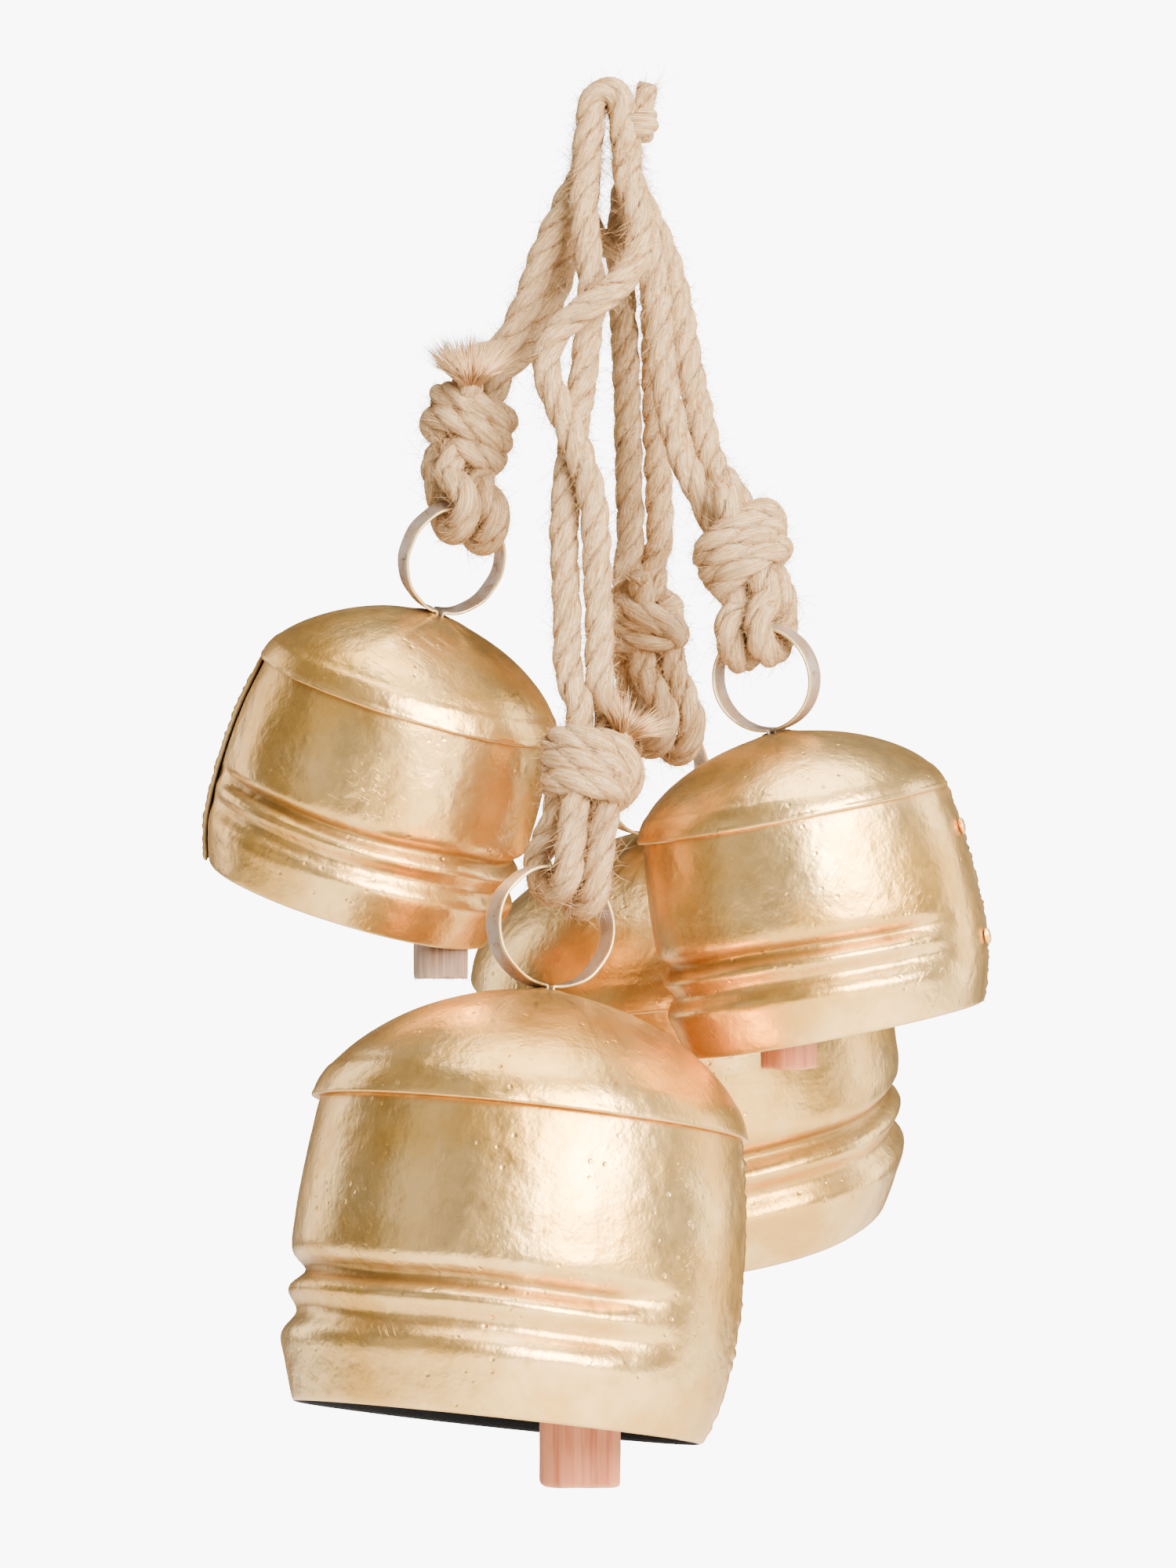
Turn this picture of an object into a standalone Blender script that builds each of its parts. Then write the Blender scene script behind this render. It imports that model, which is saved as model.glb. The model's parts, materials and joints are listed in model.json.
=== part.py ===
"""Bunch of four hand-made sheet-metal bells hung on jute rope.

The origin is where a hook holds the rope bights, +Z is up and -Y is the front.
Lengths in the tables are millimetres; everything is built in metres.
"""

import math

import bmesh
import bpy
import numpy as np
from mathutils import Matrix, Vector

MM = 0.001
GAP = 0.3
SHEET = 1.0
ROPE = 4.0  # radius of the jute rope

# Outer radius of the large shell at distances below the flange, where the ribs are full.
RIBBED = [(0, 59.3), (18, 61.4), (34, 62.4), (44, 62), (49, 57.8), (54.5, 62.2), (60.5, 59.2), (67, 62.8),
          (75, 60.8), (85.6, 57.4)]
# The same beside the seam, where the ribs fade into a plain barrel.
PLAIN = [59.3, 62.2, 63.6, 63.9, 64, 63.8, 63.4, 62.6, 61, 57.4]
FLANGE_RADIUS = 61.5
CROWN_FULLNESS = 1.7  # exponent of the dome's outline, 2 would be an ellipse
SMALL = 0.73  # small bells against the large ones
SEAM_LAP = 16.0  # degrees by which the rolled sheet overlaps itself
RIB_FADE = (10.0, 40.0)  # degrees from the seam between which the ribs grow to full height

STRAP_WIDTH = 8.0
TONGUE = 11.5  # length of the strap's two ends inside the crown
EYE_DROP = 8.0  # wire hole below the top of the crown
WIRE = 1.0
BIGHT_RADIUS = 5.9
BEND = 9.0  # radius of the rope where it turns through a ring
BIGHT_BOTTOM = -12.0
STRAND_TOP = -15.5
BIGHT_ROWS = (-12.6, -4.2, 4.2, 12.6)

# Each bell: flange centre, roll and pitch of its axis, crown height, ring radii across and up, ring yaw,
# seam direction in degrees from +X, wooden clapper (side, length, bottom height, offset along its pivot, turn).
BELLS = {
    "left": dict(scale=SMALL, flange=(-57.3, 2, -170.7), roll=17.1, pitch=8, crown=26, rim_in=0,
                 ring=(14.8, 15.8), yaw=25, seam=176, clapper=(15.2, 52, -251.8, 4.3, 8)),
    "right": dict(scale=SMALL, flange=(52.8, -34, -204), roll=-11, pitch=1.5, crown=23.5, rim_in=0,
                  ring=(14.8, 14.8), yaw=-25, seam=-14, clapper=(14.5, 52, -276.5, 2.1, 38)),
    "front": dict(scale=1.0, flange=(-21.8, -61, -289.6), roll=6.15, pitch=-6.8, crown=36.5, rim_in=0,
                  ring=(18.6, 17), yaw=30, seam=-20, clapper=(22, 75, -393.4, 12.7, 6)),
    "back": dict(scale=1.0, flange=(20.6, 67, -245.9), roll=-8, pitch=14.3, crown=36.5, rim_in=5.2,
                 ring=(18, 17), yaw=30, seam=75, clapper=(22, 75, -345, 0, 20)),
}

# Each rope: knot centre, direction of its axis towards the strands, knot radius and half height,
# sideways place of the loops on the ring, the two strands' bight legs and their routes between bight and knot.
ROPES = {
    "left": dict(
        knot=(-39.6, -4, -92), axis=(0.26, 0, 0.966), size=(13, 10.6), shift=3.6, yaw=25,
        tops=((-5.9, -4.2), (-5.9, 4.2)), tail=(-5, 9.4, 16, -10),
        routes=(
            [(-8.6, -4.4, -22), (-13.4, -4.4, -31.5), (-19.1, -4.6, -44.5), (-23.5, -5.4, -57), (-29.5, -6.6, -68.5)],
            [(-5.9, 4.2, -22), (-7.9, 4.2, -31.5), (-12.3, 4, -44.5), (-16.6, 3.8, -56.5), (-21.4, 3, -67)],
        )),
    "right": dict(
        knot=(38.5, -34, -130.2), axis=(-0.36, 0.15, 0.92), size=(13.6, 10.3), shift=-2.5, yaw=-25,
        tops=((5.9, -4.2), (5.9, 4.2)), tail=(4.5, 9.4, 11, 10),
        routes=(
            [(7.8, -5.6, -24), (11.5, -8.2, -38.7), (14.2, -12.4, -55), (15.5, -16.5, -71), (18, -21, -88),
             (22.4, -25.8, -104)],
            [(8.5, 3.4, -24), (15.5, 0.4, -38.7), (20.4, -4.6, -55), (23, -10, -71), (26.4, -16.6, -88),
             (30.4, -23, -104)],
        )),
    "front": dict(
        knot=(-5.9, -50, -192.1), axis=(0.14, 0.12, 0.98), size=(13, 10.5), shift=6, yaw=30,
        tops=((-5.9, -12.6), (5.9, -12.6)), tail=(4.5, 9.4, 11, 12),
        routes=(
            [(-6.6, -15, -27), (-5.5, -18, -42), (-4.2, -20.5, -54), (-5.5, -24, -67.5), (-7, -28.5, -81),
             (-9.3, -32, -95), (-11.6, -36, -110.6), (-12.2, -40, -128.6), (-11.4, -44, -146.6),
             (-10.8, -47, -164.4)],
            [(6.6, -14.6, -23), (9.6, -18.6, -35), (7.4, -25, -47), (0.2, -30, -55.5), (-8, -31.5, -61),
             (-15, -31.5, -67.5), (-17.4, -33, -76), (-15, -36.5, -85), (-11.4, -40, -93), (-7.4, -42, -103),
             (-4, -43, -116), (-3, -44, -133), (-2.2, -45.5, -151), (-2, -48, -167)],
        )),
    "back": dict(
        knot=(11.3, 50, -146.9), axis=(-0.1, -0.2, 0.97), size=(12, 9.5), shift=3, yaw=30,
        tops=((5.9, 12.6), (-5.9, 12.6)), tail=(-4, 9.4, 9, -12),
        routes=(
            [(5, 17.5, -25), (4, 22.5, -38), (4.4, 25.5, -50), (5.4, 30, -68), (6.2, 35.5, -87), (6.6, 41, -107),
             (7, 45, -124)],
            [(-6.8, 12.8, -24), (-5.4, 12.9, -33), (0.6, 12.6, -38.4), (7.6, 13.8, -40), (12.8, 18, -46),
             (14, 24, -58), (14.2, 31, -71), (14.8, 36.5, -88), (15.4, 42, -107), (15.6, 45.5, -124)],
        )),
}

COLOURS = {
    "gold": ((0.70, 0.47, 0.22), 0.38, 0.9),
    "strap": ((0.66, 0.54, 0.43), 0.45, 0.8),
    "jute": ((0.66, 0.52, 0.36), 0.9, 0.0),
    "wood": ((0.55, 0.27, 0.17), 0.75, 0.0),
    "iron": ((0.30, 0.28, 0.26), 0.5, 0.9),
}


def clear_scene():
    for obj in list(bpy.data.objects):
        bpy.data.objects.remove(obj, do_unlink=True)


def collection(name, hidden=False):
    made = bpy.data.collections.new(name)
    bpy.context.scene.collection.children.link(made)
    made.hide_render = hidden
    return made


def material(name, kind):
    colour, roughness, metallic = COLOURS[kind]
    made = bpy.data.materials.new(name)
    made.use_nodes = True
    shader = made.node_tree.nodes["Principled BSDF"]
    shader.inputs["Base Color"].default_value = (*colour, 1)
    shader.inputs["Roughness"].default_value = roughness
    shader.inputs["Metallic"].default_value = metallic
    return made


def add_object(name, data, kind, pivot, matrix):
    """Links an object to the parts, hangs it on its joint's empty and places it in the world."""
    obj = bpy.data.objects.new(name, data)
    parts.objects.link(obj)
    data.materials.append(material(name, kind))
    obj.parent = pivot
    obj.matrix_parent_inverse = Matrix.Translation(pivot.location).inverted()
    obj.matrix_basis = matrix
    return obj


def smooth(mesh):
    mesh.shade_smooth()
    mesh.set_sharp_from_angle(angle=math.radians(40))


def mesh_from(bm, name):
    mesh = bpy.data.meshes.new(name)
    bm.to_mesh(mesh)
    bm.free()
    smooth(mesh)
    return mesh


def pivot_empty(name, place, parent=None):
    empty = bpy.data.objects.new(name, None)
    parts.objects.link(empty)
    empty.location = Vector(place) * MM
    if parent:
        empty.parent = parent
        empty.matrix_parent_inverse = Matrix.Translation(parent.location).inverted()
    return empty


def frame_of(bell):
    """The bell's own frame: origin in the flange plane, +Z along the axis towards the ring."""
    turn = Matrix.Rotation(math.radians(bell["roll"]), 4, "Y")
    tip = Matrix.Rotation(math.radians(bell["pitch"]), 4, "X")
    return Matrix.Translation(Vector(bell["flange"]) * MM) @ turn @ tip


def turned(name, profile, steps, kind, pivot, matrix):
    """A profile of (radius, height) in millimetres, turned about Z, outer side first from the top."""
    bm = bmesh.new()
    rows = [bm.verts.new((radius * MM, 0, height * MM)) for radius, height in profile]
    for first, second in zip(rows, rows[1:]):
        bm.edges.new((first, second))
    obj = add_object(name, mesh_from(bm, name), kind, pivot, matrix)
    screw = obj.modifiers.new("turn", "SCREW")
    screw.steps = steps
    screw.render_steps = steps
    screw.use_merge_vertices = True
    screw.merge_threshold = 0.0001
    return obj


def smooth_path(points, spacing):
    """Evenly spaced points on the centripetal curve through the given ones."""
    knots = np.array(points, float)
    ends = np.vstack([2 * knots[0] - knots[1], knots, 2 * knots[-1] - knots[-2]])
    fine = []
    for p0, p1, p2, p3 in zip(ends, ends[1:], ends[2:], ends[3:]):
        t = np.cumsum([0, *(np.linalg.norm(b - a) ** 0.5 for a, b in ((p0, p1), (p1, p2), (p2, p3)))])
        for s in np.linspace(t[1], t[2], 16, endpoint=False):
            a1 = ((t[1] - s) * p0 + (s - t[0]) * p1) / (t[1] - t[0])
            a2 = ((t[2] - s) * p1 + (s - t[1]) * p2) / (t[2] - t[1])
            a3 = ((t[3] - s) * p2 + (s - t[2]) * p3) / (t[3] - t[2])
            b1 = ((t[2] - s) * a1 + (s - t[0]) * a2) / (t[2] - t[0])
            b2 = ((t[3] - s) * a2 + (s - t[1]) * a3) / (t[3] - t[1])
            fine.append(((t[2] - s) * b1 + (s - t[1]) * b2) / (t[2] - t[1]))
    fine = np.array([*fine, knots[-1]])
    along = np.concatenate([[0], np.cumsum(np.linalg.norm(np.diff(fine, axis=0), axis=1))])
    wanted = np.linspace(0, along[-1], max(3, round(along[-1] / spacing)) + 1)
    return np.column_stack([np.interp(wanted, along, fine[:, i]) for i in range(3)])


def tube(name, points, radius, spacing, kind, pivot, matrix=None):
    """A round rope or wire along a smooth curve through the points, in millimetres."""
    route = smooth_path(points, spacing)
    curve = bpy.data.curves.new(name, "CURVE")
    curve.dimensions = "3D"
    curve.bevel_depth = radius * MM
    curve.bevel_resolution = 2
    curve.use_fill_caps = True
    spline = curve.splines.new("POLY")
    spline.points.add(len(route) - 1)
    spline.points.foreach_set("co", np.column_stack([route * MM, np.ones(len(route))]).ravel())
    return add_object(name, curve, kind, pivot, matrix or Matrix())


def cutter_box(name, size, matrix):
    bm = bmesh.new()
    bmesh.ops.create_cube(bm, size=1)
    bmesh.ops.scale(bm, vec=Vector(size) * MM, verts=bm.verts)
    return add_cutter(name, bm, matrix)


def cutter_rod(name, radius, length, matrix):
    bm = bmesh.new()
    bmesh.ops.create_cone(bm, cap_ends=True, segments=12, radius1=radius * MM, radius2=radius * MM,
                          depth=length * MM)
    return add_cutter(name, bm, matrix)


def add_cutter(name, bm, matrix):
    mesh = bpy.data.meshes.new(name)
    bm.to_mesh(mesh)
    bm.free()
    obj = bpy.data.objects.new(name, mesh)
    cutters.objects.link(obj)
    obj.matrix_basis = matrix
    obj.hide_render = True
    obj.display_type = "WIRE"
    return obj


def cut(obj, cutter):
    boolean = obj.modifiers.new("cut", "BOOLEAN")
    boolean.operation = "DIFFERENCE"
    boolean.solver = "EXACT"
    boolean.object = cutter


def crown_profile(bell):
    """Outer dome, flange lip and inner dome of the crown, as (radius, height)."""
    height = bell["crown"]
    radius = FLANGE_RADIUS * bell["scale"]
    heights = [1, 0.985, 0.94, 0.86, 0.75, 0.6, 0.42, 0.22, 0.06]
    outer = [(radius * (1 - h ** CROWN_FULLNESS) ** (1 / CROWN_FULLNESS), h * height) for h in heights]
    inner = [(r * (1 - 1.6 * SHEET / radius), h - SHEET) for r, h in outer[:-1] if h > 0.3 * height]
    lip = [(radius, 0.3), (radius - 0.3, 0), (radius - 4.2, 0)]
    return outer + lip + inner[::-1]


def build_crown(name, bell, frame, pivot):
    crown = turned(name, crown_profile(bell), 28, "gold", pivot, frame)
    turn = Matrix.Rotation(math.radians(bell["yaw"]), 4, "Z")
    slot = cutter_box(name + "_slot", (4.2, STRAP_WIDTH + 0.8, 16),
                      frame @ turn @ Matrix.Translation((0, 0, bell["crown"] * MM)))
    cut(crown, slot)


def shell_radius(bell, row, degrees_from_seam):
    """Blends the ribbed outline into the plain one towards the seam."""
    low, high = RIB_FADE
    grown = min(1, max(0, (degrees_from_seam - low) / (high - low)))
    grown = grown * grown * (3 - 2 * grown)
    below, ribbed = RIBBED[row]
    radius = PLAIN[row] + (ribbed - PLAIN[row]) * grown
    return (radius - bell["rim_in"] * (below / RIBBED[-1][0]) ** 4) * bell["scale"]


def build_shell(name, bell, frame, pivot):
    """One sheet rolled into a barrel, its end lapped over its start with a small gap."""
    steps = 32
    turn = 360 + SEAM_LAP
    bm = bmesh.new()
    columns = []
    for step in range(steps + 1):
        swept = turn * step / steps
        from_seam = min(swept, max(0, 360 - swept))
        lift = (SHEET + GAP) * min(1, max(0, (swept - 320) / 36))
        angle = math.radians(bell["seam"] - SEAM_LAP / 2 + swept)
        column = []
        for row, (below, _) in enumerate(RIBBED):
            radius = (shell_radius(bell, row, from_seam) + lift - SHEET) * MM
            height = -(GAP + below * bell["scale"]) * MM
            column.append(bm.verts.new((radius * math.cos(angle), radius * math.sin(angle), height)))
        columns.append(column)
    for here, there in zip(columns, columns[1:]):
        for row in range(len(RIBBED) - 1):
            bm.faces.new((here[row], here[row + 1], there[row + 1], there[row]))
    shell = add_object(name, mesh_from(bm, name), "gold", pivot, frame)
    wall = shell.modifiers.new("wall", "SOLIDIFY")
    wall.thickness = SHEET * MM
    wall.offset = 1


def strap_path(bell):
    """The strap's middle line across and up: tongue, ring and tongue again, as one open line."""
    across, up = bell["ring"]
    leg = 1.0
    base = bell["crown"] + 0.5 + 2 * GAP
    start = math.asin(leg / across)
    turn = np.linspace(start, 2 * math.pi - start, 25)
    ring = [(across * math.sin(a), base + up * (1 - math.cos(a))) for a in turn]
    foot = bell["crown"] - TONGUE
    return [(leg, foot), *ring, (-leg, foot)]


def build_ring(name, bell, frame, pivot):
    """Flat strap bent into a ring, with both ends through the crown and punched for the wire."""
    bm = bmesh.new()
    verts = [bm.verts.new((x * MM, -STRAP_WIDTH / 2 * MM, z * MM)) for x, z in strap_path(bell)]
    edges = [bm.edges.new(pair) for pair in zip(verts, verts[1:])]
    swept = bmesh.ops.extrude_edge_only(bm, edges=edges)
    moved = [item for item in swept["geom"] if isinstance(item, bmesh.types.BMVert)]
    bmesh.ops.translate(bm, vec=(0, STRAP_WIDTH * MM, 0), verts=moved)
    bmesh.ops.recalc_face_normals(bm, faces=bm.faces)
    turn = Matrix.Rotation(math.radians(bell["yaw"]), 4, "Z")
    ring = add_object(name, mesh_from(bm, name), "strap", pivot, frame @ turn)
    wall = ring.modifiers.new("wall", "SOLIDIFY")
    wall.thickness = SHEET * MM
    wall.offset = 0
    eye = Matrix.Translation((0, 0, (bell["crown"] - EYE_DROP) * MM)) @ Matrix.Rotation(math.pi / 2, 4, "Y")
    cut(ring, cutter_rod(name + "_eye", WIRE + 0.6, 8, frame @ turn @ eye))


def clapper_frame(bell, frame):
    """Upright frame at the wire's pivot, its X along the pivot."""
    place = frame @ Vector((0, 0, (bell["crown"] - EYE_DROP) * MM))
    across = frame.to_3x3() @ Matrix.Rotation(math.radians(bell["yaw"]), 3, "Z") @ Vector((1, 0, 0))
    return Matrix.Translation(place) @ Matrix.Rotation(math.atan2(across.y, across.x), 4, "Z"), across


def build_clapper(name, bell, upright, pivot):
    """A wire hanger through the strap's eye, and a chamfered wooden block fixed on its ends."""
    side, length, bottom, offset, turn = bell["clapper"]
    top = bottom + length - upright.translation.z / MM
    slope = bell["slope"]
    wire = [(offset - 1.5, 0, top - 7), (offset - 1.5, 0, top + 3), (-4.6, 0, -7 - 4.6 * slope),
            (-4.4, 0, -1.4 - 4.4 * slope), (-3, 0, -3 * slope), (3, 0, 3 * slope), (4.4, 0, -1.4 + 4.4 * slope),
            (4.6, 0, -7 + 4.6 * slope), (offset + 1.5, 0, top + 3), (offset + 1.5, 0, top - 7)]
    tube(name + "_clapper_wire", wire, WIRE, 5, "iron", pivot, upright)
    place = upright @ Matrix.Translation((offset * MM, 0, (top - length / 2) * MM))
    place = place @ Matrix.Rotation(math.radians(turn) - upright.to_euler().z, 4, "Z")
    bm = bmesh.new()
    bmesh.ops.create_cube(bm, size=1)
    bmesh.ops.scale(bm, vec=Vector((side, side, length)) * MM, verts=bm.verts)
    upright_edges = [edge for edge in bm.edges if abs(edge.verts[0].co.z - edge.verts[1].co.z) > MM]
    bmesh.ops.bevel(bm, geom=upright_edges, offset=0.18 * side * MM, segments=2, profile=0.5, affect="EDGES")
    block = add_object(name + "_clapper", mesh_from(bm, name), "wood", pivot, place)
    drill = upright @ Matrix.Translation((offset * MM, 0, top * MM))
    cut(block, cutter_rod(name + "_drill", 3, 16, drill))


def build_tack(name, bell, frame, below, pivot):
    """A low domed tack of braze on the seam's lap."""
    rows = [row[0] * bell["scale"] for row in RIBBED]
    radius = np.interp(below, rows, PLAIN) * bell["scale"] + SHEET + 2 * GAP + 0.36 * 2.2
    angle = math.radians(bell["seam"] + 1)
    place = Vector((radius * math.cos(angle), radius * math.sin(angle), -below)) * MM
    bm = bmesh.new()
    bmesh.ops.create_uvsphere(bm, u_segments=10, v_segments=6, radius=2.2 * MM)
    bmesh.ops.scale(bm, vec=(0.36, 1, 1), verts=bm.verts)
    turn = Matrix.Translation(place) @ Matrix.Rotation(angle, 4, "Z")
    add_object(name, mesh_from(bm, name), "gold", pivot, frame @ turn)


def ring_top(bell, frame):
    """Ring centre in millimetres, in the world."""
    height = bell["crown"] + 0.5 + 2 * GAP + bell["ring"][1]
    return (frame @ Vector((0, 0, height * MM))) / MM


def ring_summit(bell, frame):
    """From the ring's centre to the highest point of its middle line."""
    turn = frame.to_3x3() @ Matrix.Rotation(math.radians(bell["yaw"]), 3, "Z")
    opening = turn @ Vector((0, -1, 0))
    return (Vector((0, 0, 1)) - opening * opening.z).normalized() * bell["ring"][1]


def rope_frame(rope):
    """Axes of the knot: across, along the ring's opening, and up its own axis."""
    up = Vector(rope["axis"]).normalized()
    yaw = math.radians(rope["yaw"])
    across = Vector((math.cos(yaw), math.sin(yaw), 0))
    front = across.cross(up).normalized()
    return front.cross(up).normalized() * -1, front, up


def bend_height(bell, frame, base, across, front):
    """Highest place for the middle of a rope bend that keeps the strap of the ring inside it."""
    turn = frame @ Matrix.Rotation(math.radians(bell["yaw"]), 4, "Z")
    wide, tall = bell["ring"]
    heart = bell["crown"] + 0.5 + 2 * GAP + tall
    highest = []
    for angle in np.radians(np.arange(-70, 71, 5)):
        for depth in (-SHEET / 2, SHEET / 2):
            for along in (-STRAP_WIDTH / 2, 0, STRAP_WIDTH / 2):
                point = Vector(((wide + depth) * math.sin(angle), along, heart + (tall + depth) * math.cos(angle)))
                away = (turn @ (point * MM)) / MM - base
                sideways = min(ROPE + GAP, abs(away.dot(across)))
                reach = BEND - math.sqrt((ROPE + GAP) ** 2 - sideways ** 2)
                if sideways < ROPE + GAP:
                    highest.append(away.z + math.sqrt(max(0, reach ** 2 - away.dot(front) ** 2)))
    return min(highest) - GAP


def loop_points(bell, rope, frame, centre, side):
    """A U of rope from the knot's foot, through the ring under its strap, and back to the knot."""
    yaw = math.radians(rope["yaw"])
    across = Vector((math.cos(yaw), math.sin(yaw), 0))
    front = Vector((math.sin(yaw), -math.cos(yaw), 0))
    top = ring_summit(bell, frame)
    base = centre + across * (rope["shift"] + side * (ROPE + 0.6)) + front * top.dot(front)
    base.z += bend_height(bell, frame, base, across, front)
    turn = [math.radians(a) for a in range(0, 181, 30)]
    bottom = [base + front * BEND * math.cos(a) - Vector((0, 0, BEND * math.sin(a))) for a in turn]
    knot_across, knot_front, knot_up = rope_frame(rope)
    foot = Vector(rope["knot"]) - knot_up * (rope["size"][1] + 1.9) + knot_across * side * (ROPE + 1)
    down = knot_up * 2
    start, end = foot + knot_front * 5.2, foot - knot_front * 5.2
    return [start, start - down, *bottom, end - down, end]


def build_rope(name, bell, rope, frame, centre, pivot):
    across, front, up = rope_frame(rope)
    radius, half = rope["size"]
    knot = Vector(rope["knot"])
    turn = Matrix((across, -front, up)).transposed().to_4x4()
    profile = [(0, half), (9, half), (radius - 1, 0.62 * half), (radius, 0.1 * half), (radius - 1, -0.6 * half),
               (10, -half), (0, -half)]
    turned(name + "_knot", profile, 14, "jute", pivot, Matrix.Translation(knot * MM) @ turn)
    for letter, side, top, route in zip("ab", (-1, 1), rope["tops"], rope["routes"]):
        end = knot + up * (half + 1.5) + across * side * (ROPE + 0.7)
        points = [(*top, STRAND_TOP), (*top, STRAND_TOP - 3), *route, end + up * 5, end]
        tube(f"{name}_strand_{letter}", points, ROPE, 10, "jute", pivot)
    for word, side in (("left", -1), ("right", 1)):
        tube(f"{name}_loop_{word}", loop_points(bell, rope, frame, centre, side), ROPE, 5, "jute", pivot)
    side, forward, length, lean = rope["tail"]
    bm = bmesh.new()
    bmesh.ops.create_cone(bm, cap_ends=True, segments=10, radius1=3 * MM, radius2=4.4 * MM, depth=length * MM)
    base = knot + up * (half + 1.3 + length / 2) + across * side + front * forward
    tip = Matrix.Rotation(math.radians(lean), 4, "Y") @ Matrix.Rotation(math.radians(14), 4, "X")
    add_object(name + "_tail", mesh_from(bm, name), "jute", pivot, Matrix.Translation(base * MM) @ turn @ tip)


def build_bights(pivot):
    """Four bights over the hook, side by side from front to back, and the rope's spare end."""
    rise = ROPE - BIGHT_RADIUS
    turn = [math.radians(a) for a in range(0, 181, 30)]
    for number, depth in enumerate(BIGHT_ROWS, 1):
        over = [(-BIGHT_RADIUS * math.cos(a), depth, rise + BIGHT_RADIUS * math.sin(a)) for a in turn]
        points = [(-BIGHT_RADIUS, depth, BIGHT_BOTTOM), *over, (BIGHT_RADIUS, depth, BIGHT_BOTTOM)]
        tube(f"hanging_bight_{number}", points, ROPE, 4.5, "jute", pivot)
    knot = [(0, 4.6), (3.6, 3.4), (4.8, 0), (3.6, -3.4), (0, -4.6)]
    turned("spare_end_knot", knot, 12, "jute", pivot, Matrix.Translation((15.2 * MM, -6 * MM, -6 * MM)))
    tube("spare_end", [(15.4, -6, -0.9), (15.6, -6, 2.5), (16.6, -6, 6.5)], 3.2, 4, "jute", pivot)


def build_bell(name, bell, rope):
    frame = frame_of(bell)
    centre = ring_top(bell, frame)
    rope_pivot = pivot_empty(name + "_rope_pivot", (*Vector(rope["tops"][0]).lerp(Vector(rope["tops"][1]), 0.5),
                                                    STRAND_TOP), root)
    hang = centre
    if name in ("front", "back"):
        hang = centre + ring_summit(bell, frame) + Vector((0, 0, 1.5))
    bell_pivot = pivot_empty(name + "_bell_pivot", hang, rope_pivot)
    upright, across = clapper_frame(bell, frame)
    bell["slope"] = across.z / math.hypot(across.x, across.y)
    clapper_pivot = pivot_empty(name + "_clapper_pivot", upright.translation / MM, bell_pivot)
    build_rope(name, bell, rope, frame, centre, rope_pivot)
    build_crown(name + "_crown", bell, frame, bell_pivot)
    build_shell(name + "_shell", bell, frame, bell_pivot)
    build_ring(name + "_ring", bell, frame, bell_pivot)
    build_clapper(name, bell, upright, clapper_pivot)
    for pair in ((rope_pivot, "rope"), (bell_pivot, "bell"), (clapper_pivot, "clapper")):
        print(name, pair[1], [round(v, 5) for v in pair[0].location])
    return frame, bell_pivot


clear_scene()
parts = collection("four_bells_on_rope")
cutters = collection("cutters", hidden=True)
root = pivot_empty("hook_point", (0, 0, 0))
build_bights(root)
for bell_name, bell_sizes in BELLS.items():
    bell_frame, swing = build_bell(bell_name, bell_sizes, ROPES[bell_name])
    if bell_name == "right":
        build_tack("right_seam_tack_upper", bell_sizes, bell_frame, 12, swing)
        build_tack("right_seam_tack_lower", bell_sizes, bell_frame, 44, swing)
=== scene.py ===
import json
import math
import bpy
import numpy as np
from mathutils import Matrix, Vector


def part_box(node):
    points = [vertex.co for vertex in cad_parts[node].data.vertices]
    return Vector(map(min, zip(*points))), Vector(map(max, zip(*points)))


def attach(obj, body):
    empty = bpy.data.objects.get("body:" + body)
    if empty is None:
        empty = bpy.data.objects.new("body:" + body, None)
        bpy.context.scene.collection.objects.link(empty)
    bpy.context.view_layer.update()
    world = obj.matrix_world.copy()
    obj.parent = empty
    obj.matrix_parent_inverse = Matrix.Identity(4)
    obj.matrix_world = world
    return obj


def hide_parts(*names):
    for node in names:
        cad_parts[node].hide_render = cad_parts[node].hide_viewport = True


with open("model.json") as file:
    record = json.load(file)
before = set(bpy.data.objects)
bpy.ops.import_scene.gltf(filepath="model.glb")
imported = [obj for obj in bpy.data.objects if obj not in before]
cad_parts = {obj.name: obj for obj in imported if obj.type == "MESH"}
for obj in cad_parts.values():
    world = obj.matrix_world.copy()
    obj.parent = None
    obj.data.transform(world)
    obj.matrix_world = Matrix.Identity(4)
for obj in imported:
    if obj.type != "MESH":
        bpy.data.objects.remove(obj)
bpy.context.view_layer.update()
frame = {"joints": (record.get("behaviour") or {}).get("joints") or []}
mm = 0.001

pivots = {joint["name"]: Vector(joint["pos_m"]) for joint in frame["joints"]}

# camera and studio

cameraSetup = {"place": (-0.00546, -2.0, -0.19545), "turn": (90, 0, 0), "lens": 158.4}

camera = bpy.data.objects.new("studioCamera", bpy.data.cameras.new("studioCamera"))
bpy.context.scene.collection.objects.link(camera)
camera.location = cameraSetup["place"]
camera.rotation_euler = [math.radians(turn) for turn in cameraSetup["turn"]]
camera.data.lens = cameraSetup["lens"]
camera.data.clip_end = 50
bpy.context.scene.camera = camera
print("camera placed")


# small maths shared by the pieces

def unit(vectors):
    return vectors / np.linalg.norm(vectors, axis=-1, keepdims=True)


def softStep(value, low, high):
    # 0 below low, 1 above high, 3t^2 - 2t^3 between
    t = np.clip((value - low) / (high - low), 0, 1)
    return t * t * (3 - 2 * t)


def travelled(line):
    # distance along the line at each of its points
    return np.concatenate([[0], np.cumsum(np.linalg.norm(np.diff(line, axis=0), axis=1))])


def lineLength(line):
    return float(travelled(line)[-1])


def evenSteps(line, spacing):
    # the same line with its points an equal distance apart
    along = travelled(line)
    wanted = np.linspace(0, along[-1], max(3, round(along[-1] / spacing)) + 1)
    return np.column_stack([np.interp(wanted, along, line[:, axis]) for axis in range(line.shape[1])])


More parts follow.
